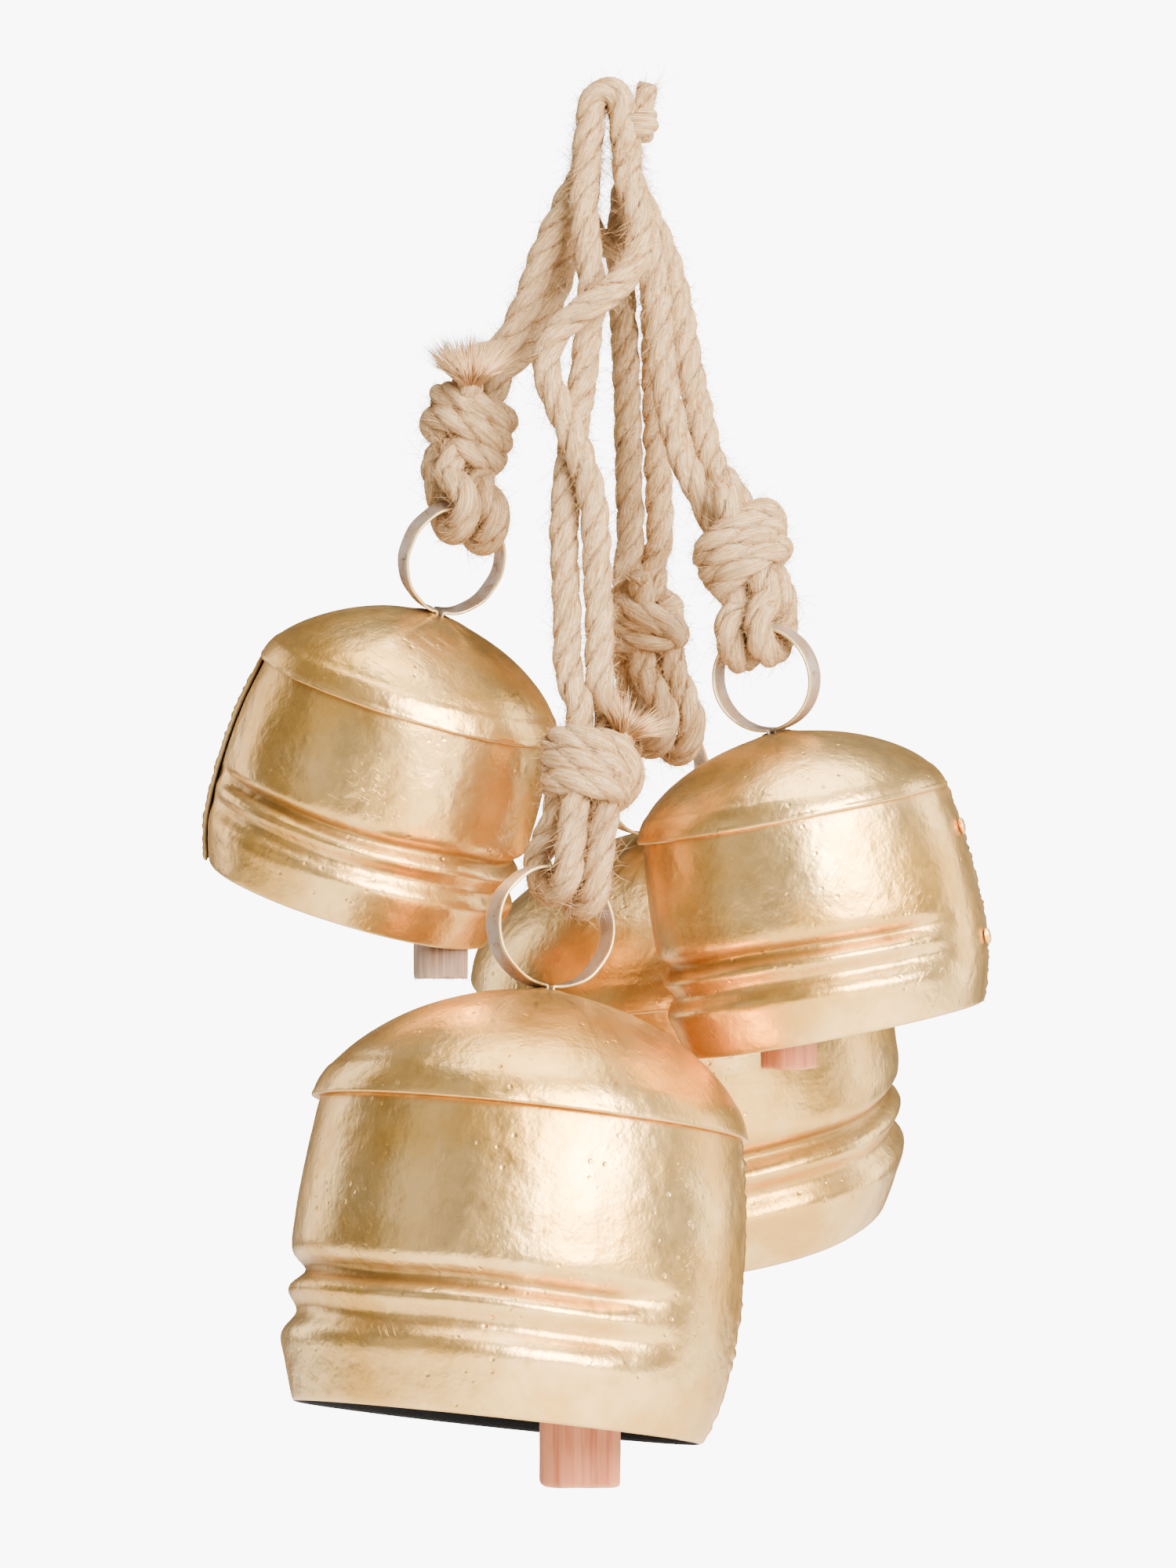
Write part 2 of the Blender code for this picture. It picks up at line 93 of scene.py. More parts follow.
def smoothLine(points, spacing):
    # centripetal curve through the points: two straight blends of three straight blends per span
    knots = np.array([tuple(point) for point in points], float)
    knots = np.vstack([2 * knots[0] - knots[1], knots, 2 * knots[-1] - knots[-2]])
    gaps = np.sqrt(np.linalg.norm(np.diff(knots, axis=0), axis=1))
    p0, p1, p2, p3 = (knots[first:len(knots) - 3 + first, None, :] for first in range(4))
    t1 = gaps[:-2, None, None]
    t2 = t1 + gaps[1:-1, None, None]
    t3 = t2 + gaps[2:, None, None]
    s = t1 + (t2 - t1) * np.linspace(0, 1, 24, endpoint=False)[None, :, None]
    a1 = ((t1 - s) * p0 + s * p1) / t1
    a2 = ((t2 - s) * p1 + (s - t1) * p2) / (t2 - t1)
    a3 = ((t3 - s) * p2 + (s - t2) * p3) / (t3 - t2)
    b1 = ((t2 - s) * a1 + s * a2) / t2
    b2 = ((t3 - s) * a2 + (s - t1) * a3) / (t3 - t1)
    fine = ((t2 - s) * b1 + (s - t1) * b2) / (t2 - t1)
    return evenSteps(np.vstack([fine.reshape(-1, knots.shape[1]), knots[-2]]), spacing)


def unevenness(seed, around, along, fewest, most, waves=26):
    # sum of cosines with whole numbers of waves round the turn and random ones along, about -1 to 1
    rng = np.random.default_rng(seed)
    total = 0
    for _ in range(waves):
        count = rng.integers(fewest, most + 1)
        slope = rng.uniform(-most, most) / 60
        total = total + np.cos(count * around + slope * along + rng.uniform(0, 2 * math.pi))
    return total / math.sqrt(waves)


def sideFrame(line, side):
    # tangent of a line, the side direction squared to it, and their cross product
    tangent = unit(np.gradient(line, axis=0))
    side = np.broadcast_to(np.array(tuple(side), float), tangent.shape)
    first = unit(side - tangent * (side * tangent).sum(axis=1, keepdims=True))
    return tangent, first, np.cross(tangent, first)


def circle(count):
    # angles of equal steps round one turn
    return np.linspace(0, 2 * math.pi, count, endpoint=False)


def polarGrid(reach, angle, height):
    # x = r cos a, y = r sin a, z = h
    return np.stack(np.broadcast_arrays(reach * np.cos(angle), reach * np.sin(angle), height), axis=-1)


def turned(degrees, axis):
    return Matrix.Rotation(math.radians(degrees), 4, axis)


def moved(*millimetres):
    return Matrix.Translation(Vector(millimetres) * mm)


def inWorld(matrix, points):
    # 3-vectors of a grid through a 4x4 matrix whose move is in metres, all else in millimetres
    turn = np.array(matrix.to_3x3())
    return points @ turn.T + np.array(matrix.translation) / mm


# meshes from grids

def gridFaces(rows, columns, closeRows=False):
    # four corners of each cell of a grid that is closed round its columns
    row = np.arange(rows if closeRows else rows - 1)[:, None]
    column = np.arange(columns)[None, :]
    nextRow, nextColumn = (row + 1) % rows, (column + 1) % columns
    corners = (row * columns + column, row * columns + nextColumn,
               nextRow * columns + nextColumn, nextRow * columns + column)
    return np.stack(np.broadcast_arrays(*corners), axis=-1).reshape(-1, 4)


def makePiece(name, points, quads, triangles, finish, values=None):
    # a mesh from corner arrays in millimetres, turned outwards where its signed volume is negative
    quads = np.asarray(quads, np.int64).reshape(-1, 4)
    triangles = np.asarray(triangles, np.int64).reshape(-1, 3)
    split = np.vstack([quads[:, :3], quads[:, [0, 2, 3]], triangles])
    corners = points[split] - points.mean(axis=0)
    if np.einsum("ij,ij->i", corners[:, 0], np.cross(corners[:, 1], corners[:, 2])).sum() < 0:
        quads, triangles = quads[:, ::-1], triangles[:, ::-1]
    mesh = bpy.data.meshes.new(name)
    mesh.vertices.add(len(points))
    mesh.vertices.foreach_set("co", (points * mm).astype(np.float32).ravel())
    mesh.loops.add(quads.size + triangles.size)
    mesh.loops.foreach_set("vertex_index", np.concatenate([quads.ravel(), triangles.ravel()]).astype(np.int32))
    starts = np.concatenate([np.arange(len(quads)) * 4, quads.size + np.arange(len(triangles)) * 3])
    mesh.polygons.add(len(starts))
    mesh.polygons.foreach_set("loop_start", starts.astype(np.int32))
    mesh.update(calc_edges=True)
    mesh.shade_smooth()
    for word, value in (values or {}).items():
        value = np.asarray(value, np.float32)
        kind, key = ("FLOAT", "value") if value.ndim == 1 else ("FLOAT_VECTOR", "vector")
        mesh.attributes.new(word, kind, "POINT").data.foreach_set(key, value.ravel())
    mesh.materials.append(finish)
    piece = bpy.data.objects.new(name, mesh)
    bpy.context.scene.collection.objects.link(piece)
    return piece


def skin(name, grid, finish, values=None, ends="point"):
    # a closed skin from a grid (rows, columns, 3) closed round its columns
    # ends: "point" fans both end rows to their middles, "sheet" bridges a folded section, "loop" joins the end rows
    rows, columns = grid.shape[:2]
    points = grid.reshape(-1, 3)
    values = {word: np.asarray(value).reshape(rows * columns, *np.asarray(value).shape[2:])
              for word, value in (values or {}).items()}
    quads = gridFaces(rows, columns, ends == "loop")
    triangles = np.empty((0, 3), int)
    ring = np.arange(columns)
    last = (rows - 1) * columns
    if ends == "point":
        points = np.vstack([points, grid[0].mean(axis=0), grid[-1].mean(axis=0)])
        triangles = np.vstack([
            np.column_stack([np.full(columns, rows * columns), (ring + 1) % columns, ring]),
            np.column_stack([np.full(columns, rows * columns + 1), last + ring, last + (ring + 1) % columns])])
        values = {word: np.concatenate([value, [value[:columns].mean(axis=0)], [value[last:].mean(axis=0)]])
                  for word, value in values.items()}
    if ends == "sheet":
        near = np.arange(columns // 2 - 1)
        cap = np.column_stack([near + 1, near, columns - 1 - near, columns - 2 - near])
        quads = np.vstack([quads, cap, cap[:, ::-1] + last])
    return makePiece(name, points, quads, triangles, finish, values)


def lump(name, matrix, radii, roughness, seed, finish, values=None):
    # a ball of the given radii, each point's distance changed by a sum of cosines
    tall, wide = np.meshgrid(np.linspace(0.06, math.pi - 0.06, 18), circle(28),
                             indexing="ij")
    grow = 1 + roughness * unevenness(seed, wide, tall * 20, 1, 4, 10) * np.sin(tall)
    ball = np.stack([np.sin(tall) * np.cos(wide), np.sin(tall) * np.sin(wide), np.cos(tall)], axis=-1)
    grid = inWorld(matrix, ball * grow[..., None] * np.array(radii))
    return skin(name, grid, finish, {word: np.full(tall.shape, value) for word, value in (values or {}).items()})


# materials

class Value:
    # a node's output that adds Math nodes when it is used in an expression
    def __init__(self, finish, socket):
        self.finish = finish
        self.socket = socket

    def maths(self, operation, first, second):
        return self.finish.node("ShaderNodeMath", {"operation": operation}, {0: first, 1: second})

    def __add__(self, other):
        return self.maths("ADD", self, other)

    def __sub__(self, other):
        return self.maths("SUBTRACT", self, other)

    def __rsub__(self, other):
        return self.maths("SUBTRACT", other, self)

    def __mul__(self, other):
        return self.maths("MULTIPLY", self, other)

    __radd__ = __add__
    __rmul__ = __mul__


class Finish:
    # a Principled material built from node calls
    def __init__(self, name):
        self.material = bpy.data.materials.new(name)
        self.material.use_nodes = True
        self.nodes = self.material.node_tree.nodes
        self.links = self.material.node_tree.links
        self.shader = self.nodes["Principled BSDF"]
        self.place = self.node("ShaderNodeTexCoord", {}, {}, "Object")

    def feed(self, socket, value):
        if isinstance(value, Value):
            self.links.new(value.socket, socket)
        elif isinstance(value, tuple) and len(value) == 3 and socket.type == "RGBA":
            socket.default_value = (*value, 1)
        else:
            socket.default_value = value

    def node(self, kind, settings, inputs, output=0):
        made = self.nodes.new(kind)
        for word, value in settings.items():
            setattr(made, word, value)
        for word, value in inputs.items():
            self.feed(made.inputs[word], value)
        return Value(self, made.outputs[output])

    def read(self, word, output="Fac"):
        return self.node("ShaderNodeAttribute", {"attribute_name": word}, {}, output)

    def stretched(self, vector, scale):
        return self.node("ShaderNodeMapping", {}, {"Vector": vector, "Scale": scale})

    def noise(self, vector, scale, detail=4, rough=0.55, warp=0):
        return self.node("ShaderNodeTexNoise", {}, {"Vector": vector, "Scale": scale, "Detail": detail,
                                                    "Roughness": rough, "Distortion": warp}, "Fac")

    def cells(self, vector, scale):
        return self.node("ShaderNodeTexVoronoi", {}, {"Vector": vector, "Scale": scale}, "Distance")

    def step(self, value, low, high):
        # 0 at low, 1 at high, smooth between
        return self.node("ShaderNodeMapRange", {"interpolation_type": "SMOOTHSTEP"},
                         {"Value": value, "From Min": low, "From Max": high})

    def mix(self, share, first, second):
        return self.node("ShaderNodeMix", {"data_type": "RGBA"}, {0: share, 6: first, 7: second}, 2)

    def bump(self, height, strength, distance, below=None):
        inputs = {"Height": height, "Strength": strength, "Distance": distance}
        if below is not None:
            inputs["Normal"] = below
        return self.node("ShaderNodeBump", {}, inputs)

    def done(self, **sockets):
        for word, value in sockets.items():
            self.feed(self.shader.inputs[word.replace("_", " ")], value)
        return self.material


goldLook = {"pale": (0.95, 0.595, 0.205), "warm": (0.75, 0.40, 0.085), "deep": (0.25, 0.115, 0.018),
            "stain": (0.25, 0.14, 0.05), "soot": (0.012, 0.011, 0.010), "roughness": 0.3}


def goldFinish(name, scratchTurn, streak):
    # brass dust on iron sheet: cloudy gold, painted shade in the rib grooves and along the crown's lip, deeper
    # braze colour, orange-peel skin, pits, scratches, soot inside
    look = goldLook
    f = Finish(name)
    cloud = f.step(f.noise(f.place, 28, 5, 0.6), 0.36, 0.66)
    mottle = f.noise(f.place, 170, 5, 0.6, 0.6)
    groove, inside, worn = f.read("groove"), f.read("inside"), f.read("worn")
    polar = f.read("polar", "Vector")
    run = f.step(f.noise(polar, 2.6, 4, 0.6), 0.5, 0.72) * f.read("shoulder") * streak
    colour = f.mix(cloud, look["warm"], look["pale"])
    colour = f.mix(f.step(mottle, 0.5, 0.75) * 0.35, colour, look["warm"])
    # the groove mask: painted shade in the rib grooves and at the crown's lip and the joint under it, plus a deeper
    # colour on the braze lumps, tacks and round the slot
    colour = f.mix(f.step(groove + (mottle - 0.5) * 0.5, 0.15, 1.1) * 0.7, colour, look["deep"])
    colour = f.mix(run * 0.75, colour, look["deep"])
    colour = f.mix(worn, colour, look["pale"])
    speck = f.step(f.cells(f.stretched(f.place, (1, 1, 0.7)), 105), 0.1, 0.03)
    speck = speck * f.step(f.noise(f.place, 60, 3), 0.5, 0.62)
    blotch = f.step(f.noise(f.place, 46, 6, 0.7, 1.2), 0.655, 0.74)
    colour = f.mix(speck * 0.65 + blotch * 0.35, colour, look["stain"])
    drawn = f.node("ShaderNodeMapping", {}, {"Vector": f.place, "Rotation": scratchTurn})
    scratch = f.noise(f.stretched(drawn, (1400, 1400, 34)), 1, 3, 0.6)
    scratchPatch = f.step(f.noise(f.place, 21, 2), 0.56, 0.7)
    scratchMark = f.step(scratch, 0.6, 0.72) * scratchPatch
    colour = f.mix(scratchMark * 0.45, colour, look["deep"])
    colour = f.mix(inside, colour, look["soot"])
    rough = look["roughness"] + (mottle - 0.5) * 0.22 + (1 - cloud) * 0.05 + groove * 0.1
    rough = rough + speck * 0.3 + scratchMark * 0.1
    peel = f.noise(f.place, 330, 3, 0.5) * 0.6 + f.noise(f.place, 950, 2, 0.5) * 0.25
    pits = f.step(f.cells(f.place, 240), 0.22, 0.06) * f.step(f.noise(f.place, 40, 3), 0.48, 0.6)
    height = peel - pits * 0.8 - scratchMark * 0.35 - f.step(f.noise(f.place, 90, 3), 0.4, 0.7) * 0.5
    return f.done(Base_Color=colour, Metallic=(1 - inside) * (1 - blotch * 0.3) * 0.92,
                  Roughness=rough * (1 - inside) + inside * 0.9,
                  Normal=f.bump(height, 0.42, 0.0006))


strapLook = {"face": (0.46, 0.34, 0.25), "warm": (0.40, 0.24, 0.13), "edge": (0.84, 0.62, 0.30),
             "stain": (0.10, 0.07, 0.045)}


def strapFinish(name):
    # pinkish beige sheet with bright cut edges, dark stains and fine rolling marks along it
    look = strapLook
    f = Finish(name)
    edge = f.read("edge")
    cloud = f.noise(f.place, 120, 4, 0.6)
    colour = f.mix(f.step(cloud, 0.4, 0.65), look["face"], look["warm"])
    stain = f.step(f.noise(f.place, 240, 6, 0.75, 0.8), 0.55, 0.68)
    colour = f.mix(stain * 0.7, colour, look["stain"])
    bright = f.step(edge + (cloud - 0.5) * 0.5, 0.72, 0.95)
    colour = f.mix(bright, colour, look["edge"])
    colour = f.mix(f.read("soot") * f.step(cloud, 0.3, 0.6), colour, look["stain"])
    marks = f.noise(f.stretched(f.read("flat", "Vector"), (0.12, 3, 3)), 1.6, 3, 0.6)
    height = marks * 0.5 + f.noise(f.place, 700, 3) * 0.5 - stain * 0.6
    return f.done(Base_Color=colour, Metallic=bright * 0.45 + 0.45,
                  Roughness=0.42 + (cloud - 0.5) * 0.3 + stain * 0.25, Normal=f.bump(height, 0.35, 0.0004))


def woodFinish(name, pale, deep, tint):
    # sawn wood: long narrow grain up the block, saw marks across, darker end grain
    f = Finish(name)
    grain = f.noise(f.stretched(f.place, (1300, 1300, 30)), 1, 4, 0.6, 0.5)
    wide = f.noise(f.stretched(f.place, (260, 260, 9)), 1, 3, 0.5, 1.0)
    pores = f.step(f.noise(f.stretched(f.place, (2400, 2400, 110)), 1, 2), 0.62, 0.74)
    saw = f.noise(f.stretched(f.place, (60, 60, 900)), 1, 2, 0.5)
    colour = f.mix(f.step(wide, 0.35, 0.65), pale, deep)
    colour = f.mix(f.step(grain, 0.4, 0.68) * 0.5, colour, tint)
    colour = f.mix(pores * 0.35, colour, deep)
    end = f.read("end")
    colour = f.mix(end * f.step(f.noise(f.place, 500, 4), 0.35, 0.65) * 0.7, colour, tint)
    height = grain * 0.6 + saw * 0.25 - pores * 0.6
    return f.done(Base_Color=colour, Roughness=0.72 + (grain - 0.5) * 0.2, Normal=f.bump(height, 0.35, 0.0003),
                  Specular_IOR_Level=0.3)


juteLook = {"pale": (0.80, 0.55, 0.29), "straw": (0.50, 0.28, 0.105), "rust": (0.40, 0.155, 0.035),
            "grey": (0.31, 0.20, 0.10), "deep": (0.10, 0.042, 0.012)}


def juteFinish(name):
    # fine yarn fibres that follow the lay, straw to rust, dark between the strands
    look = juteLook
    f = Finish(name)
    lay = f.read("lay", "Vector")
    fibre = f.noise(f.stretched(lay, (1.9, 1.9, 0.12)), 1, 4, 0.75, 0.3)
    thread = f.noise(f.stretched(lay, (0.8, 0.8, 0.07)), 1, 3, 0.65, 0.4)
    patch = f.noise(f.place, 60, 3, 0.6)
    groove = f.read("groove")
    colour = f.mix(f.step(fibre * 0.6 + thread * 0.4, 0.42, 0.58), look["straw"], look["pale"])
    colour = f.mix(f.step(thread + (fibre - 0.5) * 0.7, 0.56, 0.70) * 0.7, colour, look["rust"])
    colour = f.mix(f.step(0.5 - thread + (fibre - 0.5) * 0.6, 0.04, 0.2) * 0.45, colour, look["grey"])
    colour = f.mix(f.step(patch, 0.52, 0.7) * 0.45, colour, look["grey"])
    shadow = groove + (thread - 0.5) * 2.4 + (fibre - 0.5) * 0.8
    colour = f.mix(f.step(shadow, 0.6, 1.35) * 0.8, colour, look["deep"])
    height = fibre * 0.7 + thread * 0.6
    return f.done(Base_Color=colour, Roughness=0.9, Specular_IOR_Level=0.15, Normal=f.bump(height, 1.0, 0.0013))


def fibreFinish(name):
    # single loose fibres, each with its own tone, with painted shade towards each fibre's root
    look = juteLook
    f = Finish(name)
    tone = f.read("tone")
    colour = f.mix(f.step(tone, 0.05, 0.75), look["straw"], look["pale"])
    colour = f.mix(f.step(tone, 0.74, 0.9) * 0.8, colour, look["rust"])
    # painted shade: darker rust towards each fibre's root
    colour = f.mix((1 - f.read("tipward")) * 0.55, colour, look["rust"])
    return f.done(Base_Color=colour, Roughness=0.8, Specular_IOR_Level=0.2)


def ironFinish(name):
    # drawn wire, grey and a little rusty
    f = Finish(name)
    rust = f.step(f.noise(f.place, 420, 5, 0.65), 0.5, 0.66)
    return f.done(Base_Color=f.mix(rust, (0.33, 0.31, 0.29), (0.22, 0.11, 0.05)), Metallic=1 - rust * 0.7,
                  Roughness=0.38 + rust * 0.4, Normal=f.bump(f.noise(f.place, 1500, 3), 0.3, 0.0003))


gold = {name: goldFinish("gold" + name.capitalize(), scratchTurn, streak) for name, scratchTurn, streak in (
    ("left", (0.5, 0.9, 0.4), 0.35), ("right", (0.2, -0.5, 0.9), 0.35),
    ("front", (0.9, 0.3, 0.1), 1.0), ("back", (0.4, 0.6, 1.2), 0.8))}
strapMetal = strapFinish("strapMetal")
pinkWood = woodFinish("pinkWood", (0.78, 0.25, 0.105), (0.58, 0.15, 0.055), (0.80, 0.34, 0.16))
greyWood = woodFinish("greyWood", (0.50, 0.32, 0.21), (0.36, 0.21, 0.13), (0.60, 0.43, 0.31))
jute = juteFinish("jute")
looseFibre = fibreFinish("looseFibre")
hangerIron = ironFinish("hangerIron")
print("materials made")


# rope

ropeSize = {"radius": 4.0, "layLength": 27.0, "columns": 36, "step": 1.1, "grooveDepth": 0.19, "fibreTwist": 0.7,
            "tailLean": 14}
ropes = {
    "left": {"knot": (-39.6, -4, -92), "axis": (0.26, 0, 0.966), "size": (13, 10.6), "shift": 3.6, "yaw": 25,
             "tops": ((-5.9, -4.2), (-5.9, 4.2)), "tail": (-6, 9.4, 16, -20),
             "routes": (((-8.6, -4.4, -22), (-13.4, -4.4, -31.5), (-19.1, -4.6, -44.5), (-23.5, -5.4, -57),
                         (-29.5, -6.6, -68.5)),
                        ((-5.9, 4.2, -22), (-7.9, 4.2, -31.5), (-12.3, 4, -44.5), (-16.6, 3.8, -56.5),
                         (-21.4, 3, -67))),
             "wrap": {"turns": 2.55, "start": 200, "tilt": 2.6, "tiltSide": 175, "crossing": 150},
             "brush": {"count": 1300, "flare": 0.62, "length": (12, 14.5), "stub": 0.35}},
    "right": {"knot": (38.5, -34, -130.2), "axis": (-0.36, 0.15, 0.92), "size": (13.6, 10.3), "shift": -2.5,
              "yaw": -25, "tops": ((5.9, -4.2), (5.9, 4.2)), "tail": (4.5, 9.4, 11, 10),
              "routes": (((7.8, -5.6, -24), (11.5, -8.2, -38.7), (14.2, -12.4, -55), (15.5, -16.5, -71),
                          (18, -21, -88), (22.4, -25.8, -104)),
                         ((8.5, 3.4, -24), (15.5, 0.4, -38.7), (20.4, -4.6, -55), (23, -10, -71),
                          (26.4, -16.6, -88), (30.4, -23, -104))),
              "wrap": {"turns": 2.7, "start": 120, "tilt": 1.6, "tiltSide": 10, "crossing": 130},
              "brush": {"count": 160, "flare": 0.25, "length": (3, 6), "stub": 0.85}},
    "front": {"knot": (-5.9, -50, -192.1), "axis": (0.14, 0.12, 0.98), "size": (13, 10.5), "shift": 6, "yaw": 30,
              "tops": ((-5.9, -12.6), (5.9, -12.6)), "tail": (4.5, 9.4, 11, 12),
              "routes": (((-6.6, -15, -27), (-5.5, -18, -42), (-4.2, -20.5, -54), (-5.5, -24, -67.5),
                          (-7, -28.5, -81), (-9.3, -32, -95), (-11.6, -36, -110.6), (-12.2, -40, -128.6),
                          (-11.4, -44, -146.6), (-10.8, -47, -164.4)),
                         ((6.6, -14.6, -23), (9.6, -18.6, -35), (7.4, -25, -47), (0.2, -30, -55.5),
                          (-8, -31.5, -61), (-15, -31.5, -67.5), (-17.4, -33, -76), (-15, -36.5, -85),
                          (-11.4, -40, -93), (-7.4, -42, -103), (-4, -43, -116), (-3, -44, -133),
                          (-2.2, -45.5, -151), (-2, -48, -167))),
              "wrap": {"turns": 2.6, "start": 60, "tilt": 1.5, "tiltSide": 185, "crossing": 120},
              "brush": {"count": 420, "flare": 0.8, "length": (7, 14), "stub": 0.4}},
    "back": {"knot": (11.3, 50, -146.9), "axis": (-0.1, -0.2, 0.97), "size": (12, 9.5), "shift": 3, "yaw": 30,
             "tops": ((5.9, 12.6), (-5.9, 12.6)), "tail": (-4, 9.4, 9, -12),
             "routes": (((5, 17.5, -25), (4, 22.5, -38), (4.4, 25.5, -50), (5.4, 30, -68), (6.2, 35.5, -87),
                         (6.6, 41, -107), (7, 45, -124)),
                        ((-6.8, 12.8, -24), (-5.4, 12.9, -33), (0.6, 12.6, -38.4), (7.6, 13.8, -40),
                         (12.8, 18, -46), (14, 24, -58), (14.2, 31, -71), (14.8, 36.5, -88), (15.4, 42, -107),
                         (15.6, 45.5, -124))),
             "wrap": {"turns": 2.6, "start": 0, "tilt": 1.2, "tiltSide": 90, "crossing": 130},
             "brush": {"count": 120, "flare": 0.3, "length": (3, 6), "stub": 0.8}},
}
bights = {"rows": (-12.6, -4.2, 4.2, 12.6), "legs": 5.9, "bend": 4.5, "bottom": -17.5, "strandTop": -11.5}
fuzzSize = {"perMillimetre": 28, "reach": (1.4, 9.0), "thickness": 0.07}


def laidRope(name, line, side, radius, phase=0.0, endScale=(1, 1), endReach=4, seed=1):
    # three strands round a line: r(1 - d u^2), u from 0 on a strand's crest to 1 in the groove beside it,
    # the section turning once per lay length; the ends shrink to endScale of the radius over endReach
    _, first, second = sideFrame(line, side)
    along = travelled(line)[:, None]
    around = circle(ropeSize["columns"])[None, :]
    third = 2 * math.pi / 3
    fromCrest = np.abs((around + third / 2) % third - third / 2) / (third / 2)
    turn = around + phase + 2 * math.pi * along / ropeSize["layLength"]
    near = np.minimum(softStep(along, 0, endReach) * (1 - endScale[0]) + endScale[0],
                      softStep(along[-1] - along, 0, endReach) * (1 - endScale[1]) + endScale[1])
    size = radius * near * (1 - ropeSize["grooveDepth"] * fromCrest ** 2)
    size = size * (1 + 0.04 * unevenness(seed, around, along * 6, 1, 5, 14)) + 0.06 * radius
    grid = line[:, None, :] + size[..., None] * (np.cos(turn)[..., None] * first[:, None, :]
                                                 + np.sin(turn)[..., None] * second[:, None, :])
    drift = around + ropeSize["fibreTwist"] * 2 * math.pi * along / ropeSize["layLength"]
    lay = np.stack(np.broadcast_arrays(size * np.cos(drift), size * np.sin(drift), along + seed * 40), axis=-1)
    return skin(name, grid, jute, {"groove": np.broadcast_to(fromCrest ** 2, size.shape), "lay": lay})


def fibres(name, roots, directions, curls, lengths, thickness, seed):
    # each fibre runs along root + direction L t + curl L t^2 as a thin three-sided spike
    rng = np.random.default_rng(seed)
    count = len(roots)
    t = np.array([0, 0.5, 1])[None, :, None]
    reach = lengths[:, None, None]
    middle = roots[:, None, :] + directions[:, None, :] * reach * t + curls[:, None, :] * reach * t ** 2
    first = unit(np.cross(directions, rng.normal(size=(count, 3))))
    second = np.cross(unit(directions), first)
    angle = np.arange(3) * 2 * math.pi / 3
    spread = (np.cos(angle)[None, None, :, None] * first[:, None, None, :]
              + np.sin(angle)[None, None, :, None] * second[:, None, None, :])
    rings = middle[:, :2, None, :] + spread * thickness * np.array([1, 0.75])[None, :, None, None]
    points = np.concatenate([rings.reshape(count, 6, 3), middle[:, 2:, :]], axis=1).reshape(-1, 3)
    start = (np.arange(count) * 7)[:, None, None]
    quads = start + gridFaces(2, 3)[None]
    triangles = start + np.array([[0, 2, 1], [3, 4, 6], [4, 5, 6], [5, 3, 6]])[None]
    tone, tipward = np.repeat(rng.uniform(0, 1, count), 7), np.tile([0, 0, 0, 0.5, 0.5, 0.5, 1], count)
    return makePiece(name, points, quads, triangles, looseFibre, {"tone": tone, "tipward": tipward})


def fuzz(name, line, side, radius, seed, share=1.0, span=(0, 1)):
    # loose fibres standing off a rope, mostly along its lay, a few long ones
    rng = np.random.default_rng(seed)
    tangent, first, second = sideFrame(line, side)
    low, high = int(span[0] * (len(line) - 1)), int(span[1] * (len(line) - 1))
    count = int(lineLength(line[low:high + 1]) * fuzzSize["perMillimetre"] * share)
    at = rng.integers(low, high + 1, count)
    angle = rng.uniform(0, 2 * math.pi, count)[:, None]
    out = np.cos(angle) * first[at] + np.sin(angle) * second[at]
    around = -np.sin(angle) * first[at] + np.cos(angle) * second[at]
    lay = unit(tangent[at] + around * 2 * math.pi * radius / ropeSize["layLength"])
    way = np.where(rng.uniform(size=(count, 1)) < 0.5, -1, 1)
    direction = unit(lay * way + out * rng.uniform(0.05, 0.75, (count, 1)) + rng.normal(size=(count, 3)) * 0.22)
    curl = rng.normal(size=(count, 3)) * 0.3 - out * rng.uniform(0, 0.35, (count, 1))
    shortest, longest = fuzzSize["reach"]
    length = shortest + (longest - shortest) * rng.uniform(0, 1, count) ** 3.2
    roots = line[at] + out * radius * 0.9
    return fibres(name, roots, direction, curl, length, fuzzSize["thickness"], seed)


def across(yaw):
    return Vector((math.cos(math.radians(yaw)), math.sin(math.radians(yaw)), 0))


def knotFrame(rope):
    # across, front and up of a knot, from its axis and the ring's yaw
    up = Vector(rope["axis"]).normalized()
    front = across(rope["yaw"]).cross(up).normalized()
    return up.cross(front).normalized(), front, up


def rideOn(piece, body, slotName, *nodes):
    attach(piece, body)
    if nodes:
        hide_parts(*nodes)
    return piece


def bightLine(depth):
    # up one leg, over the hook and down the other leg
    wide, bend = bights["legs"], bights["bend"]
    rise = ropeSize["radius"] - bend
    over = [(-bend * math.cos(a), depth, rise + bend * math.sin(a)) for a in np.radians(np.arange(0, 181, 30))]
    leg = ((wide, bights["bottom"]), (wide, -14.5), (wide - 0.2, -11), (bend + 0.3, -5))
    points = [*((-x, depth, z) for x, z in leg), *over, *((x, depth, z) for x, z in leg[::-1])]
    return smoothLine(points, ropeSize["step"])


overlap = bights["strandTop"] - bights["bottom"]
topPieces = []
for number, depth in enumerate(bights["rows"], 1):
    line = bightLine(depth)
    piece = laidRope(f"hangingBight{number}", line, (0, 1, 0), ropeSize["radius"], 0, (0.86, 0.86), 4, number)
    topPieces.append(rideOn(piece, "root", "jute_rope", f"hanging_bight_{number}"))
    piece = fuzz(f"hangingBightFuzz{number}", line, (0, 1, 0), ropeSize["radius"], 50 + number, 0.8)
    topPieces.append(rideOn(piece, "root", "jute_rope"))
turnPerMm = 2 * math.pi / ropeSize["layLength"]
bightLength = lineLength(bightLine(0))

